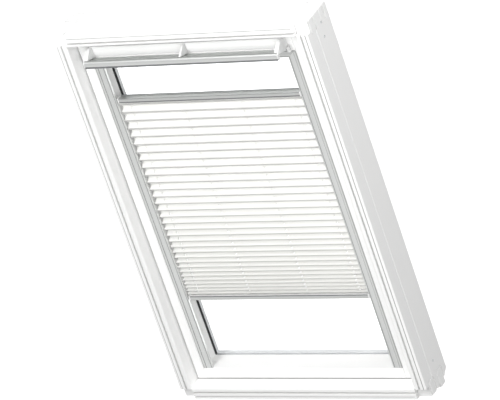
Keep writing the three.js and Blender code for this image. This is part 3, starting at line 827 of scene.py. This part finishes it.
def repaint(piece: Thing, finish: Coating, wanted: FaceTest) -> None:
    """Gives some faces of a piece another finish.

    Args:
        piece: the piece.
        finish: the other finish.
        wanted: tells whether a face gets it.
    """
    piece.data.materials.append(finish.material())
    for face in piece.data.polygons:
        if wanted(face):
            face.material_index = len(piece.data.materials) - 1


@dataclass(frozen=True)
class Skin:
    """CAD nodes that share a finish and the rounding of their edges."""

    finish: Coating
    rounding: float
    nodes: tuple[str, ...]
    segments: int = 2

    def dress(self, body: str) -> list[Thing]:
        """Stands a copy with rounded edges in for each node.

        Args:
            body: CAD body that the nodes move with.

        Returns:
            The finished copies, in the nodes' order.
        """
        pieces = []
        for node in self.nodes:
            paint_node(node, self.finish)
            copy = Bench.from_node(node).round_edges(self.rounding, self.segments).smooth()
            pieces.append(copy.dress(self.finish, body))
            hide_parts(node)
        return pieces


def dress_nodes(skins: Sequence[Skin], body: str) -> None:
    """Stands skins in for all the nodes that they name."""
    for skin in skins:
        skin.dress(body)


@dataclass(frozen=True)
class Strip:
    """A kind of straight strip: its finish and the rounding of its edges."""

    finish: Coating
    rounding: float
    segments: int = 2

    def lay(self, size: Place, corners: dict[str, Place], body: str) -> None:
        """Models one strip and copies it to the other places.

        Args:
            size: its size.
            corners: the strips' names and lowest corners.
            body: CAD body that they move with.
        """
        name, low = next(iter(corners.items()))
        strip = Bench.block(name, low, Vector(low) + Vector(size))
        for piece in strip.round_edges(self.rounding, self.segments).smooth().row(corners):
            piece.dress(self.finish, body)


@dataclass
class ScrewHead:
    """Head of a countersunk screw with a round recess, a little proud of its surface."""

    radius: float = 3.6 * MM
    depth: float = 1.6 * MM
    proud: float = 0.25 * MM
    sides: int = 20
    rounding: float = 0.12 * MM
    insets: tuple[tuple[float, float], ...] = ((0.7 * MM, 0.15 * MM), (1.3 * MM, 0.0), (0.4 * MM, -1.0 * MM))

    def drive(self, places: dict[str, Place], way: Way, finish: Coating, body: str) -> None:
        """Models one screw head and copies it to the other places.

        Args:
            places: the screws' names and the middles of their faces, on the surface.
            way: the way that their faces look.
            finish: their finish.
            body: CAD body that they move with.
        """
        name, at = next(iter(places.items()))
        top = Vector(at) + way.vector * self.proud
        foot = top - way.vector * self.depth
        screw = Bench.rod(name, self.radius, foot, top, self.sides).facing(way.vector)
        for width, height in self.insets:
            screw.edit(lambda: bpy.ops.mesh.inset(thickness=width, depth=height), everything=False)
        for piece in screw.round_edges(self.rounding, 1).smooth().row(places):
            piece.dress(finish, body)


@dataclass
class OuterFrame:
    """Head, sill and jambs with their comb joints, gasket and pivots."""

    body: str = "frame"
    wood: Skin = Skin(Finishes.lacquer, 0.9 * MM, ("frame_head", "frame_sill", *pair("frame_jamb")), 3)
    skins: tuple[Skin, ...] = (
        Skin(Finishes.rubber, 0.35 * MM, ("frame_gasket",)),
        Skin(Finishes.steel, 0.4 * MM, (*pair("frame_pivot"), "striker_plate")),
    )
    # Grey beads laid in the steps of the room face: painted shade.
    bead: Strip = Strip(Finishes.sealant, 0.4 * MM)
    screw: ScrewHead = field(default_factory=ScrewHead)
    head_screws: tuple[tuple[float, float], ...] = ((-0.3365, -0.020), (-0.3546, -0.019), (0.3365, -0.020))
    side_screws: tuple[tuple[float, float], ...] = ((0.024, 0.088), (0.024, 1.107), (0.029, 1.147))
    groove_place: float = 22.2 * MM
    head_groove_place: float = 27 * MM
    groove_depths: tuple[float, float] = (2.2 * MM, 9.3 * MM)
    groove_reach: float = 3.2 * MM
    gap_start: float = 37.4 * MM
    facing_share: float = 0.9
    upward_share: float = 0.95
    step_place: float = 10.6 * MM
    head_step_place: float = 13.6 * MM
    bead_width: float = 1.7 * MM
    bead_depths: tuple[float, float] = (0.5 * MM, 1.7 * MM)
    bead_margins: tuple[float, float] = (45 * MM, 33 * MM)

    def prime(self, member: Thing, inward: Vector, middle: float) -> None:
        """Paints shade into a member's lining groove, as a greyer lacquer on the groove's inner faces.

        Args:
            member: the member.
            inward: direction from the member into the window.
            middle: where the groove's middle lies in that direction.
        """
        near, far = (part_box("frame_jamb_left")[0].y + depth for depth in self.groove_depths)

        def in_groove(face: bpy.types.MeshPolygon) -> bool:
            """Tells whether a face lies in the groove."""
            inside = near < face.center.y < far and abs(face.center.dot(inward) - middle) < self.groove_reach
            return inside and max(abs(face.normal.dot(inward)), abs(face.normal.y)) > self.facing_share

        # Painted shade: the groove's inner faces take the greyer lacquer.
        repaint(member, Finishes.groove, in_groove)

    def members(self) -> None:
        """Dresses the four members, and paints shade into their grooves and into the gap below the sash."""
        low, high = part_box("frame_jamb_left")[0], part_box("frame_head")[1]
        on_jamb = self.groove_place - high.x
        grooves = (
            (Way.DOWN, self.head_groove_place - high.z), (Way.UP, self.groove_place + low.z),
            (Way.RIGHT, on_jamb), (Way.LEFT, on_jamb),
        )
        members = self.wood.dress(self.body)
        for member, (inward, middle) in zip(members, grooves):
            self.prime(member, inward.vector, middle)
        gap = low.y + self.gap_start
        # Painted shade: the sill's upward faces in the gap below the sash are greyed.
        repaint(
            members[1], Finishes.sealant,
            lambda face: face.center.y > gap and face.normal.z > self.upward_share,
        )

    def sealant(self) -> None:
        """Lays a grey bead of painted shade in the step of each member's room face."""
        low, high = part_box("frame_head")
        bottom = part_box("frame_jamb_left")[0].z
        across, upright = self.bead_margins
        near, deep = low.y + self.bead_depths[0], self.bead_depths[1] - self.bead_depths[0]
        reach, foot = high.x - across, bottom + upright
        sill, left = (start + self.step_place - self.bead_width for start in (bottom, low.x))
        level = {
            "sealant_head": (-reach, near, high.z - self.head_step_place),
            "sealant_sill": (-reach, near, sill),
        }
        self.bead.lay((2 * reach, deep, self.bead_width), level, self.body)
        on_jambs = {
            "sealant_left": (left, near, foot),
            "sealant_right": (high.x - self.step_place, near, foot),
        }
        self.bead.lay((self.bead_width, deep, high.z - upright - foot), on_jambs, self.body)

    def screws(self) -> None:
        """Sets the screws of the head and of both jambs."""
        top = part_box("frame_head")[1].z
        heads = {f"head_screw_{count}": (x, y, top) for count, (x, y) in enumerate(self.head_screws, 1)}
        self.screw.drive(heads, Way.UP, Finishes.plastic, self.body)
        for side in Side:
            name = f"jamb_screw_{side.label}"
            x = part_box(f"frame_jamb_{side.label}")[side.value].x
            places = {f"{name}_{count}": (x, *place) for count, place in enumerate(self.side_screws, 1)}
            self.screw.drive(places, Way[side.name], Finishes.steel, self.body)

    def build(self) -> None:
        """Builds the whole frame."""
        self.members()
        self.sealant()
        dress_nodes(self.skins, self.body)
        self.screws()


@dataclass
class PivotSash:
    """Sash members, double glazing, outer cladding, lock and pivots."""

    body: str = "sash"
    skins: tuple[Skin, ...] = (
        Skin(Finishes.inner_lacquer, 0.7 * MM, ("sash_top_rail", "sash_bottom_rail", *pair("sash_stile")), 3),
        Skin(Finishes.spacer, 0.5 * MM, ("glass_spacer",)),
        Skin(Finishes.rubber, 0.4 * MM, ("inner_seal", "outer_seal")),
        Skin(Finishes.rubber, 0.3 * MM, pair("setting_block")),
        Skin(Finishes.cladding, 0.5 * MM, tuple(f"sash_cladding_{edge}" for edge in EDGES)),
        Skin(Finishes.steel, 0.4 * MM, (*pair("sash_pivot"), "lock_case")),
        Skin(Finishes.foam, 1.0 * MM, ("air_filter",)),
        Skin(Finishes.shaded_plastic, 1.0 * MM, pair("flap_housing"), 3),
    )
    screw: ScrewHead = field(default_factory=lambda: ScrewHead(radius=3.2 * MM, depth=1.2 * MM))
    screws_each: int = 5
    lip: Strip = Strip(Finishes.rubber, 0.3 * MM)
    lip_margin: float = 15 * MM
    lip_reach: float = 3.2 * MM
    lip_depth: float = 1.4 * MM

    def glazing_lips(self) -> None:
        """Lays the inner seal's upright lips over the edges of the glass."""
        low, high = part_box("glass_spacer")
        front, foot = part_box("inner_seal")[0].y, low.z + self.lip_margin
        reach = high.x - self.lip_margin
        corners = {
            "glazing_lip_left": (-reach, front, foot),
            "glazing_lip_right": (reach - self.lip_reach, front, foot),
        }
        self.lip.lay((self.lip_reach, self.lip_depth, high.z - self.lip_margin - foot), corners, self.body)

    def screws(self) -> None:
        """Screws the outer cladding down."""
        places = {}
        for edge in EDGES:
            low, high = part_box(f"sash_cladding_{edge}")
            middle = (low + high) / 2
            for count in range(self.screws_each):
                run = low + (high - low) * (count + 0.5) / self.screws_each
                x, z = (middle.x, run.z) if edge in EDGES[:2] else (run.x, middle.z)
                places[f"cladding_screw_{edge}_{count + 1}"] = (x, high.y, z)
        self.screw.drive(places, Way.BACK, Finishes.steel, self.body)

    def build(self) -> None:
        """Builds the whole sash."""
        dress_nodes(self.skins, self.body)
        for node in ("inner_pane", "outer_pane"):
            paint_node(node, Finishes.glass)
        paint_node("flap_hinge_pin", Finishes.steel)
        self.glazing_lips()
        self.screws()


@dataclass
class VentHandle:
    """Ventilation flap, its brackets, and the handle bar with its end caps and a dark strip of painted shade
    below it.
    """

    body: str = "handle"
    metal: Skin = Skin(Finishes.upright_metal, 0.4 * MM, ("handle_bar",), 3)
    skins: tuple[Skin, ...] = (
        Skin(Finishes.plastic, 0.5 * MM, ("vent_flap",)),
        Skin(Finishes.shaded_plastic, 0.5 * MM, (*pair("flap_bracket"), "flap_bracket_middle")),
        Skin(Finishes.shaded_plastic, 0.5 * MM, pair("bar_end_cap")),
    )
    upward_share: float = 0.6
    # A dark strip along the bar's underside: painted shade, where the bar has no strip of its own.
    grip: Strip = Strip(Finishes.lip, 0.5 * MM)
    grip_proud: float = 0.4 * MM
    grip_depth: float = 5.5 * MM
    grip_drop: float = 1.0 * MM
    grip_rise: float = 3.2 * MM

    def build(self) -> None:
        """Dresses the nodes, paints the bar's upper side darker as painted shade, and lays a dark strip of
        painted shade below it.
        """
        dress_nodes(self.skins, self.body)
        bar = self.metal.dress(self.body)[0]
        # Painted shade: the bar's upward faces take the darker aluminium.
        repaint(bar, Finishes.dull_metal, lambda face: face.normal.z > self.upward_share)
        low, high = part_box("handle_bar")
        size = (high.x - low.x, self.grip_proud + self.grip_depth, self.grip_drop + self.grip_rise)
        corner = (low.x, low.y - self.grip_proud, low.z - self.grip_drop)
        self.grip.lay(size, {"handle_grip_strip": corner}, self.body)


@dataclass(frozen=True)
class ChannelLip:
    """A dark strip of painted shade along a channel: its edges as shares of the width from outside, and how
    deep it lies.
    """

    place: str
    start_share: float
    end_share: float
    sunk: float
    finish: Coating = Finishes.lip


@dataclass
class BlindRunners:
    """Top profile, side channels with dark strips of painted shade in their rebates and grooves, and the
    plugs in the channels' feet.
    """

    body: str = "sash"
    skins: tuple[Skin, ...] = (
        Skin(Finishes.across_metal, 0.25 * MM, ("blind_top_profile",)),
        Skin(Finishes.upright_metal, 0.25 * MM, pair("side_channel")),
        Skin(Finishes.plastic, 0.4 * MM, pair("channel_foot")),
    )
    # Dark strips in the channels' rebates and grooves: painted shade, the outer ones in the lighter grey.
    channel_lips: tuple[ChannelLip, ...] = (
        ChannelLip("outer", 0.012, 0.1, 1.2 * MM, Finishes.sealant),
        ChannelLip("middle", 0.275, 0.33, 1.55 * MM),
        ChannelLip("inner", 0.845, 0.885, 2.6 * MM),
    )
    lip_rounding: float = 0.15 * MM
    lip_depth: float = 0.55 * MM
    lip_gap: float = 1 * MM
    mitre_drop: float = 21 * MM

    def lips(self) -> None:
        """Lays dark strips of painted shade in the rebates and the fine grooves of both channels."""
        low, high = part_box("side_channel_left")
        edge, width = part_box("side_channel_right")[1].x, high.x - low.x
        for lip in self.channel_lips:
            depth = low.y + lip.sunk
            corners = {
                f"channel_lip_{lip.place}_left": (low.x + width * lip.start_share, depth, low.z),
                f"channel_lip_{lip.place}_right": (edge - width * lip.end_share, depth, low.z),
            }
            height = high.z - self.mitre_drop * lip.end_share - self.lip_gap - low.z
            size = (width * (lip.end_share - lip.start_share), self.lip_depth, height)
            Strip(lip.finish, self.lip_rounding, 1).lay(size, corners, self.body)

    def build(self) -> None:
        """Dresses the top profile, the channels and their feet, and lays the strips of painted shade."""
        dress_nodes(self.skins, self.body)
        self.lips()


@dataclass
class BlindRail:
    """One rail of the blind with its two shoes, dark strips of painted shade and, on the lower rail, a white
    strip of painted light.
    """

    level: Level
    rounding: float = 0.3 * MM
    shoe_rounding: float = 0.5 * MM
    strip_rounding: float = 0.15 * MM
    rebate: float = 2.5 * MM
    rebate_depth: float = 1.8 * MM
    lip_height: float = 1.1 * MM
    lip_drop: float = 0.5 * MM
    lip_overhang: float = 0.8 * MM
    rear_rise: float = 1.2 * MM
    hem_rise: float = 0.6 * MM
    hem_depth: float = 8 * MM
    proud: float = 0.2 * MM

    def strip(self, name: str, finish: Coating, heights: Sequence[float], depths: Sequence[float]) -> None:
        """Lays a strip along the rail.

        Args:
            name: the strip's name.
            finish: its finish.
            heights: where it starts and ends below the rail's upper edge.
            depths: where it starts and ends behind the rail's front.
        """
        low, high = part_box(f"blind_{self.level.rail}")
        size = (high.x - low.x, depths[1] - depths[0], heights[1] - heights[0])
        corner = (low.x, low.y + depths[0], high.z - heights[1])
        strip = Strip(finish, self.strip_rounding, 1)
        strip.lay(size, {f"{self.level.rail}_{name}": corner}, self.level.rail)

    def trims(self) -> None:
        """Lays the dark strips of painted shade, and on the lower rail a white strip of painted light."""
        low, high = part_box(f"blind_{self.level.rail}")
        height, depth = high.z - low.z, high.y - low.y
        in_rebate = (self.proud, self.rebate_depth)
        if self.level is Level.TOP:
            # Top rail: dark strips of painted shade at its upper front edge, in its lower rebate and along
            # the rear of its top.
            upper = (self.lip_drop, self.lip_drop + self.lip_height)
            self.strip("upper_lip", Finishes.lip, upper, (-self.proud, self.proud))
            lower = (height - self.rebate, height + self.lip_overhang)
            self.strip("lower_lip", Finishes.lip, lower, in_rebate)
            rear = (depth - self.lip_height - self.proud, depth - self.proud)
            self.strip("rear_lip", Finishes.lip, (-self.rear_rise, self.proud), rear)
        else:
            # Bottom rail: a white strip of painted light on the front of its top, and a dark strip of painted
            # shade in its rebate.
            self.strip("hem", Finishes.plastic, (-self.hem_rise, 0.0), (self.rebate_depth, self.hem_depth))
            self.strip("lip", Finishes.lip, (self.proud, self.rebate), in_rebate)

    def build(self) -> None:
        """Dresses the rail, its shoes and its strips."""
        rail = self.level.rail
        Skin(Finishes.across_metal, self.rounding, (f"blind_{rail}",)).dress(rail)
        Skin(Finishes.plastic, self.shoe_rounding, pair(f"{rail}_shoe")).dress(rail)
        self.trims()


@dataclass(frozen=True)
class FoldPoint:
    """A point of the cloth's path: depth, height and length along the cloth."""

    y: float
    z: float
    run: float


@dataclass
class PleatedCloth:
    """The folded cloth between the rails, cut into bands towards either rail."""

    leg: float = PLEAT_LEG
    mean_pitch: float = 19.5 * MM
    top_share: float = 1.323
    crowding_power: float = 1.65
    fixed_pleats: int = 8
    thickness: float = 0.45 * MM
    bow: float = 0.35 * MM
    pinch: float = 0.35 * MM
    pinch_share: float = 0.3
    pinch_reach: float = 14 * MM
    unevenness: float = 0.05 * MM
    curl: float = 0.2 * MM
    curl_reach: float = 9 * MM
    waves_down: float = 310.0
    waves_across: tuple[float, float] = (23.0, 61.0)
    fast_share: float = 0.6
    fast_turn: float = 1.7
    sharp_degrees: float = 50.0
    columns: int = 42
    shortest: float = 11 * MM
    leg_shares: tuple[float, ...] = (0.05, 0.35, 0.65, 0.95)
    upper_shares: tuple[float, ...] = (0.035, 0.12, 0.3, 0.7, 0.88, 0.965)
    lower_shares: tuple[float, ...] = (0.0125, 0.04, 0.1, 0.2, 0.4, 0.6, 0.8, 0.9, 0.96, 0.9875)

    def corners(self) -> list[tuple[float, float]]:
        """Works out the creases from the top rail down to the bottom rail.

        Returns:
            Depth and height of both ends and of every crease.
        """
        low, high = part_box("pleated_fabric")
        middle, top, total = (low.y + high.y) / 2, high.z, high.z - low.z
        count = round(total / self.mean_pitch)
        crowding = [(i / (count - 1)) ** self.crowding_power for i in range(count)]
        loss = (self.top_share - 1) * count / sum(crowding)
        places = [(middle, top)]
        height = top
        for crowd in crowding:
            pitch = total / count * (self.top_share - loss * crowd)
            reach = math.sqrt(self.leg**2 - (pitch / 2) ** 2) / 2
            places += [(middle - reach, height - pitch / 4), (middle + reach, height - pitch * 3 / 4)]
            height -= pitch
        places.append((middle, low.z))
        return places

    def path(self) -> list[FoldPoint]:
        """Draws the cloth's path with soft creases and slightly bowed legs.

        Returns:
            The path's points from the top down.
        """
        corners = [Vector(corner) for corner in self.corners()]
        points = [FoldPoint(*corners[0], 0.0)]
        run = 0.0
        for count, (start, end) in enumerate(zip(corners, corners[1:])):
            step = end - start
            sag = Vector((-step.y, step.x)).normalized() * self.bow * (1 if step.x < 0 else -1)
            for share in self.leg_shares:
                place = start + step * share + sag * (4 * share * (1 - share))
                points.append(FoldPoint(*place, run + step.length * share))
            run += step.length
            if count < len(corners) - 2:
                after = end + (corners[count + 2] - end) * self.leg_shares[0]
                before = end - step * self.leg_shares[0]
                points.append(FoldPoint(*(end * 0.5 + (before + after) * 0.25), run))
        points.append(FoldPoint(*corners[-1], run))
        return points

    def split_height(self) -> float:
        """Gives the height of the middle of the leg that stays with the sash."""
        upper, lower = self.corners()[2 * self.fixed_pleats : 2 * self.fixed_pleats + 2]
        return (upper[1] + lower[1]) / 2

    def ripple(self, x: float, point: FoldPoint, edge: float) -> tuple[float, float]:
        """Works out the small unevenness of the cloth at a point.

        Args:
            x: place across the cloth.
            point: the path's point.
            edge: half the cloth's width.

        Returns:
            Shift in depth and in height.
        """
        near = sum(math.exp(-(((x - place) / self.pinch_reach) ** 2)) for place in CORD_PLACES)
        fray = math.exp(-(edge - abs(x)) / self.curl_reach)
        pinch = self.pinch_share * self.pinch * near
        phase = point.run * self.waves_down
        slow, fast = self.waves_across
        wave = math.sin(x * slow + phase) + self.fast_share * math.sin(x * fast - self.fast_turn * phase)
        depth = self.unevenness * wave + pinch * math.cos(math.pi * point.run / self.leg)
        return depth, self.curl * fray * math.sin(phase) - pinch

    def band(self, name: str, points: list[FoldPoint]) -> Bench:
        """Models one band of the cloth.

        Args:
            name: the band's name.
            points: its part of the path.

        Returns:
            The band at the bench.
        """
        low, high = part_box("pleated_fabric")
        edge = (high.x - low.x) / 2
        rows = len(points) - 1
        Bench.clear()
        bpy.ops.mesh.primitive_grid_add(x_subdivisions=self.columns, y_subdivisions=rows, size=1.0)
        band = Bench(bpy.context.object, name)
        mesh = band.thing.data
        steps = []
        for vertex in mesh.vertices:
            column = round((vertex.co.x + 0.5) * self.columns)
            point = points[round((vertex.co.y + 0.5) * rows)]
            x = edge * (2 * column / self.columns - 1)
            depth, height = self.ripple(x, point, edge)
            steps.append((x, point.run))
            vertex.co = (x, point.y + depth, point.z + height)
        layer = mesh.uv_layers.active or mesh.uv_layers.new(name="cloth")
        for loop in mesh.loops:
            layer.data[loop.index].uv = steps[loop.vertex_index]
        band.modify("SOLIDIFY", thickness=self.thickness, offset=0.0, use_rim=True)
        band.edit(lambda: bpy.ops.mesh.normals_make_consistent(inside=False))
        return band.smooth(self.sharp_degrees)

    @staticmethod
    def ease_back(weight: float) -> float:
        """Turns a share from 0 to 1 into the place where a smooth step has that value."""
        return 0.5 - math.sin(math.asin(1 - 2 * weight) / 3)

    def hang(self, level: Level, points: list[FoldPoint], shares: Sequence[float]) -> None:
        """Models the bands from the fixed leg to one rail, and gives each its finish.

        Args:
            level: the rail that they run to.
            points: the path from the fixed leg to that rail.
            shares: where the bands part, as shares of the height.
        """
        start, end = points[0].z, points[-1].z
        cuts = [0]
        for share in (*shares, 1.0):
            height = start + (end - start) * share
            nearest = min(range(len(points)), key=lambda i: abs(points[i].z - height))
            if abs(points[nearest].run - points[cuts[-1]].run) > self.shortest:
                cuts.append(nearest)
        cuts[-1] = len(points) - 1
        for count, (first, last) in enumerate(zip(cuts, cuts[1:]), 1):
            part = points[first : last + 1]
            downward = part[::-1] if part[0].z < part[-1].z else part
            band = self.band(f"cloth_{level.value}_{count}", downward)
            turns = [self.ease_back((place.z - start) / (end - start)) for place in (part[0], part[-1])]
            span = (part[-1].z - part[0].z) / (turns[1] - turns[0])
            from_z = part[0].z - turns[0] * span
            cloth = band.bend(Finishes.cloth, level, (0, 0, from_z), (0, 0, from_z + span))
            if level is Level.TOP and count == 1:
                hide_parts("pleated_fabric")

    def build(self) -> None:
        """Builds the whole cloth."""
        split = self.split_height()
        points = self.path()
        middle = min(range(len(points)), key=lambda i: abs(points[i].z - split))
        self.hang(Level.TOP, points[: middle + 1][::-1], self.upper_shares)
        self.hang(Level.BOTTOM, points[middle:], self.lower_shares)


@dataclass
class TensionCords:
    """Cords in the side channels, and the cords that run through the pleats."""

    channel_radius: float = 0.7 * MM
    pleat_radius: float = 0.5 * MM
    sides: int = 10
    rounding: float = 0.15 * MM

    def run(self, radius: float, level: Level, ways: dict[str, Sequence[Vector]]) -> list[Thing]:
        """Models one cord, copies it to the other places, and gives each its finish.

        Args:
            radius: the cords' radius.
            level: the rail named in the log.
            ways: each cord's name, its end that stays and its end that moves.

        Returns:
            The finished cords.
        """
        name, ends = next(iter(ways.items()))
        cord = Bench.rod(name, radius, *ends, self.sides).round_edges(self.rounding, 1).smooth()
        row = cord.row({name: way[0] for name, way in ways.items()})
        return [piece.bend(Finishes.cord, level, *way) for piece, way in zip(row, ways.values())]

    def in_channels(self) -> None:
        """Models the four cords that run in the side channels."""
        for level, node in ((Level.TOP, "upper_cord"), (Level.BOTTOM, "lower_cord")):
            ways = {}
            for side in Side:
                low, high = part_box(f"{node}_{side.label}")
                middle = (low + high) / 2
                ends = [Vector((middle.x, middle.y, z)) for z in (high.z, low.z)]
                ways[f"{node}_{side.label}_braid"] = ends if level is Level.TOP else ends[::-1]
            for side, cord in zip(Side, self.run(self.channel_radius, level, ways)):
                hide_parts(f"{node}_{side.label}")

    def through_pleats(self, split: float) -> None:
        """Models the cords that pass through the holes in the cloth.

        Args:
            split: height of the leg that stays with the sash.
        """
        low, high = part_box("pleated_fabric")
        y = (low.y + high.y) / 2
        for level, z in ((Level.TOP, high.z), (Level.BOTTOM, low.z)):
            ways = {
                f"pleat_cord_{level.value}_{count}": (Vector((x, y, split)), Vector((x, y, z)))
                for count, x in enumerate(CORD_PLACES, 1)
            }
            self.run(self.pleat_radius, level, ways)

    def build(self, split: float) -> None:
        """Builds every cord; split is the height of the leg that stays with the sash."""
        self.in_channels()
        self.through_pleats(split)


@dataclass
class Studio:
    """Camera at the photograph's angle, soft lamps, pale floor and white surroundings."""

    target: Place = (0.04814, -0.05, 0.65891)
    azimuth: float = 35.234
    elevation: float = 27.275
    roll: float = -19.307
    distance: float = 11.592
    lens: float = 313.8
    sensor: float = 36.0
    sight: float = 100.0
    floor_height: float = -0.9
    floor_size: float = 60.0
    front_light: float = 0.25
    back_light: float = 0.38
    light_turn: tuple[float, float] = (-0.5, 0.3)
    lamps: tuple[tuple[str, float, float, Place], ...] = (
        ("top_lamp", 60.0, 2.5, (0.0, -1.6, 4.6)),
        ("side_lamp", 31.0, 1.5, (2.5, 0.5, 2.8)),
        ("right_lamp", 51.0, 2.0, (2.0, -2.8, 1.6)),
        ("high_lamp", 104.0, 2.5, (-0.6, -3.6, 3.4)),
    )

    def camera(self) -> None:
        """Places the camera."""
        azimuth, elevation, roll = (math.radians(a) for a in (self.azimuth, self.elevation, self.roll))
        turn = Matrix.Rotation(azimuth, 4, "Z") @ Matrix.Rotation(math.pi / 2 - elevation, 4, "X")
        turn = turn @ Matrix.Rotation(roll, 4, "Z")
        place = Vector(self.target) + turn @ Vector((0, 0, self.distance))
        data = bpy.data.cameras.new("photo_camera")
        data.sensor_fit = "HORIZONTAL"
        data.sensor_width = self.sensor
        data.lens = self.lens
        data.clip_end = self.sight
        camera = bpy.data.objects.new("photo_camera", data)
        camera.matrix_world = Matrix.Translation(place) @ turn
        bpy.context.scene.collection.objects.link(camera)
        bpy.context.scene.camera = camera

    def lamp(self, name: str, power: float, size: float, place: Place) -> None:
        """Adds a square lamp that looks at the window.

        Args:
            name: the lamp's name.
            power: its power, in watts.
            size: its side, in metres.
            place: where it stands.
        """
        data = bpy.data.lights.new(name, "AREA")
        data.energy = power
        data.size = size
        lamp = bpy.data.objects.new(name, data)
        lamp.visible_camera = False
        way = Vector(self.target) - Vector(place)
        lamp.matrix_world = Matrix.Translation(place) @ way.to_track_quat("-Z", "Y").to_matrix().to_4x4()
        bpy.context.scene.collection.objects.link(lamp)

    def surroundings(self) -> None:
        """Makes the world white to the eye, and as light a little brighter behind than in front."""
        world = bpy.data.worlds.new("white_surroundings")
        world.use_nodes = True
        bpy.context.scene.world = world
        graph = Graph(world.node_tree)
        apart = graph.add("ShaderNodeSeparateXYZ", {0: graph.where("Generated")})
        light = graph.ramp(
            apart.outputs["Y"], self.front_light, self.back_light, self.light_turn, "SMOOTHSTEP"
        )
        strength = graph.ramp(graph.rays("Camera", "Glossy", "Transmission"), light, 1.0)
        background = graph.add("ShaderNodeBackground", {"Color": WHITE, "Strength": strength})
        graph.add("ShaderNodeOutputWorld", {"Surface": background.outputs["Background"]})

    def floor(self) -> None:
        """Lays a plain floor below the window."""
        Bench.clear()
        bpy.ops.mesh.primitive_plane_add(size=self.floor_size, location=(0, 0, self.floor_height))
        bpy.ops.object.transform_apply(location=True, rotation=True, scale=True)
        floor = bpy.context.object
        floor.name = "pale_floor"
        coat(floor, Finishes.floor)

    def build(self) -> None:
        """Sets up the whole studio."""
        self.camera()
        for lamp in self.lamps:
            self.lamp(*lamp)
        self.surroundings()
        self.floor()
        bpy.context.scene.view_settings.view_transform = "Standard"


def main() -> None:
    """Builds the window's looks and the studio round it."""
    logging.basicConfig(level=logging.INFO, format="%(message)s")
    Studio().build()
    OuterFrame().build()
    PivotSash().build()
    VentHandle().build()
    BlindRunners().build()
    for level in Level:
        BlindRail(level).build()
    cloth = PleatedCloth()
    cloth.build()
    TensionCords().build(cloth.split_height())


if __name__ == "__main__":
    main()
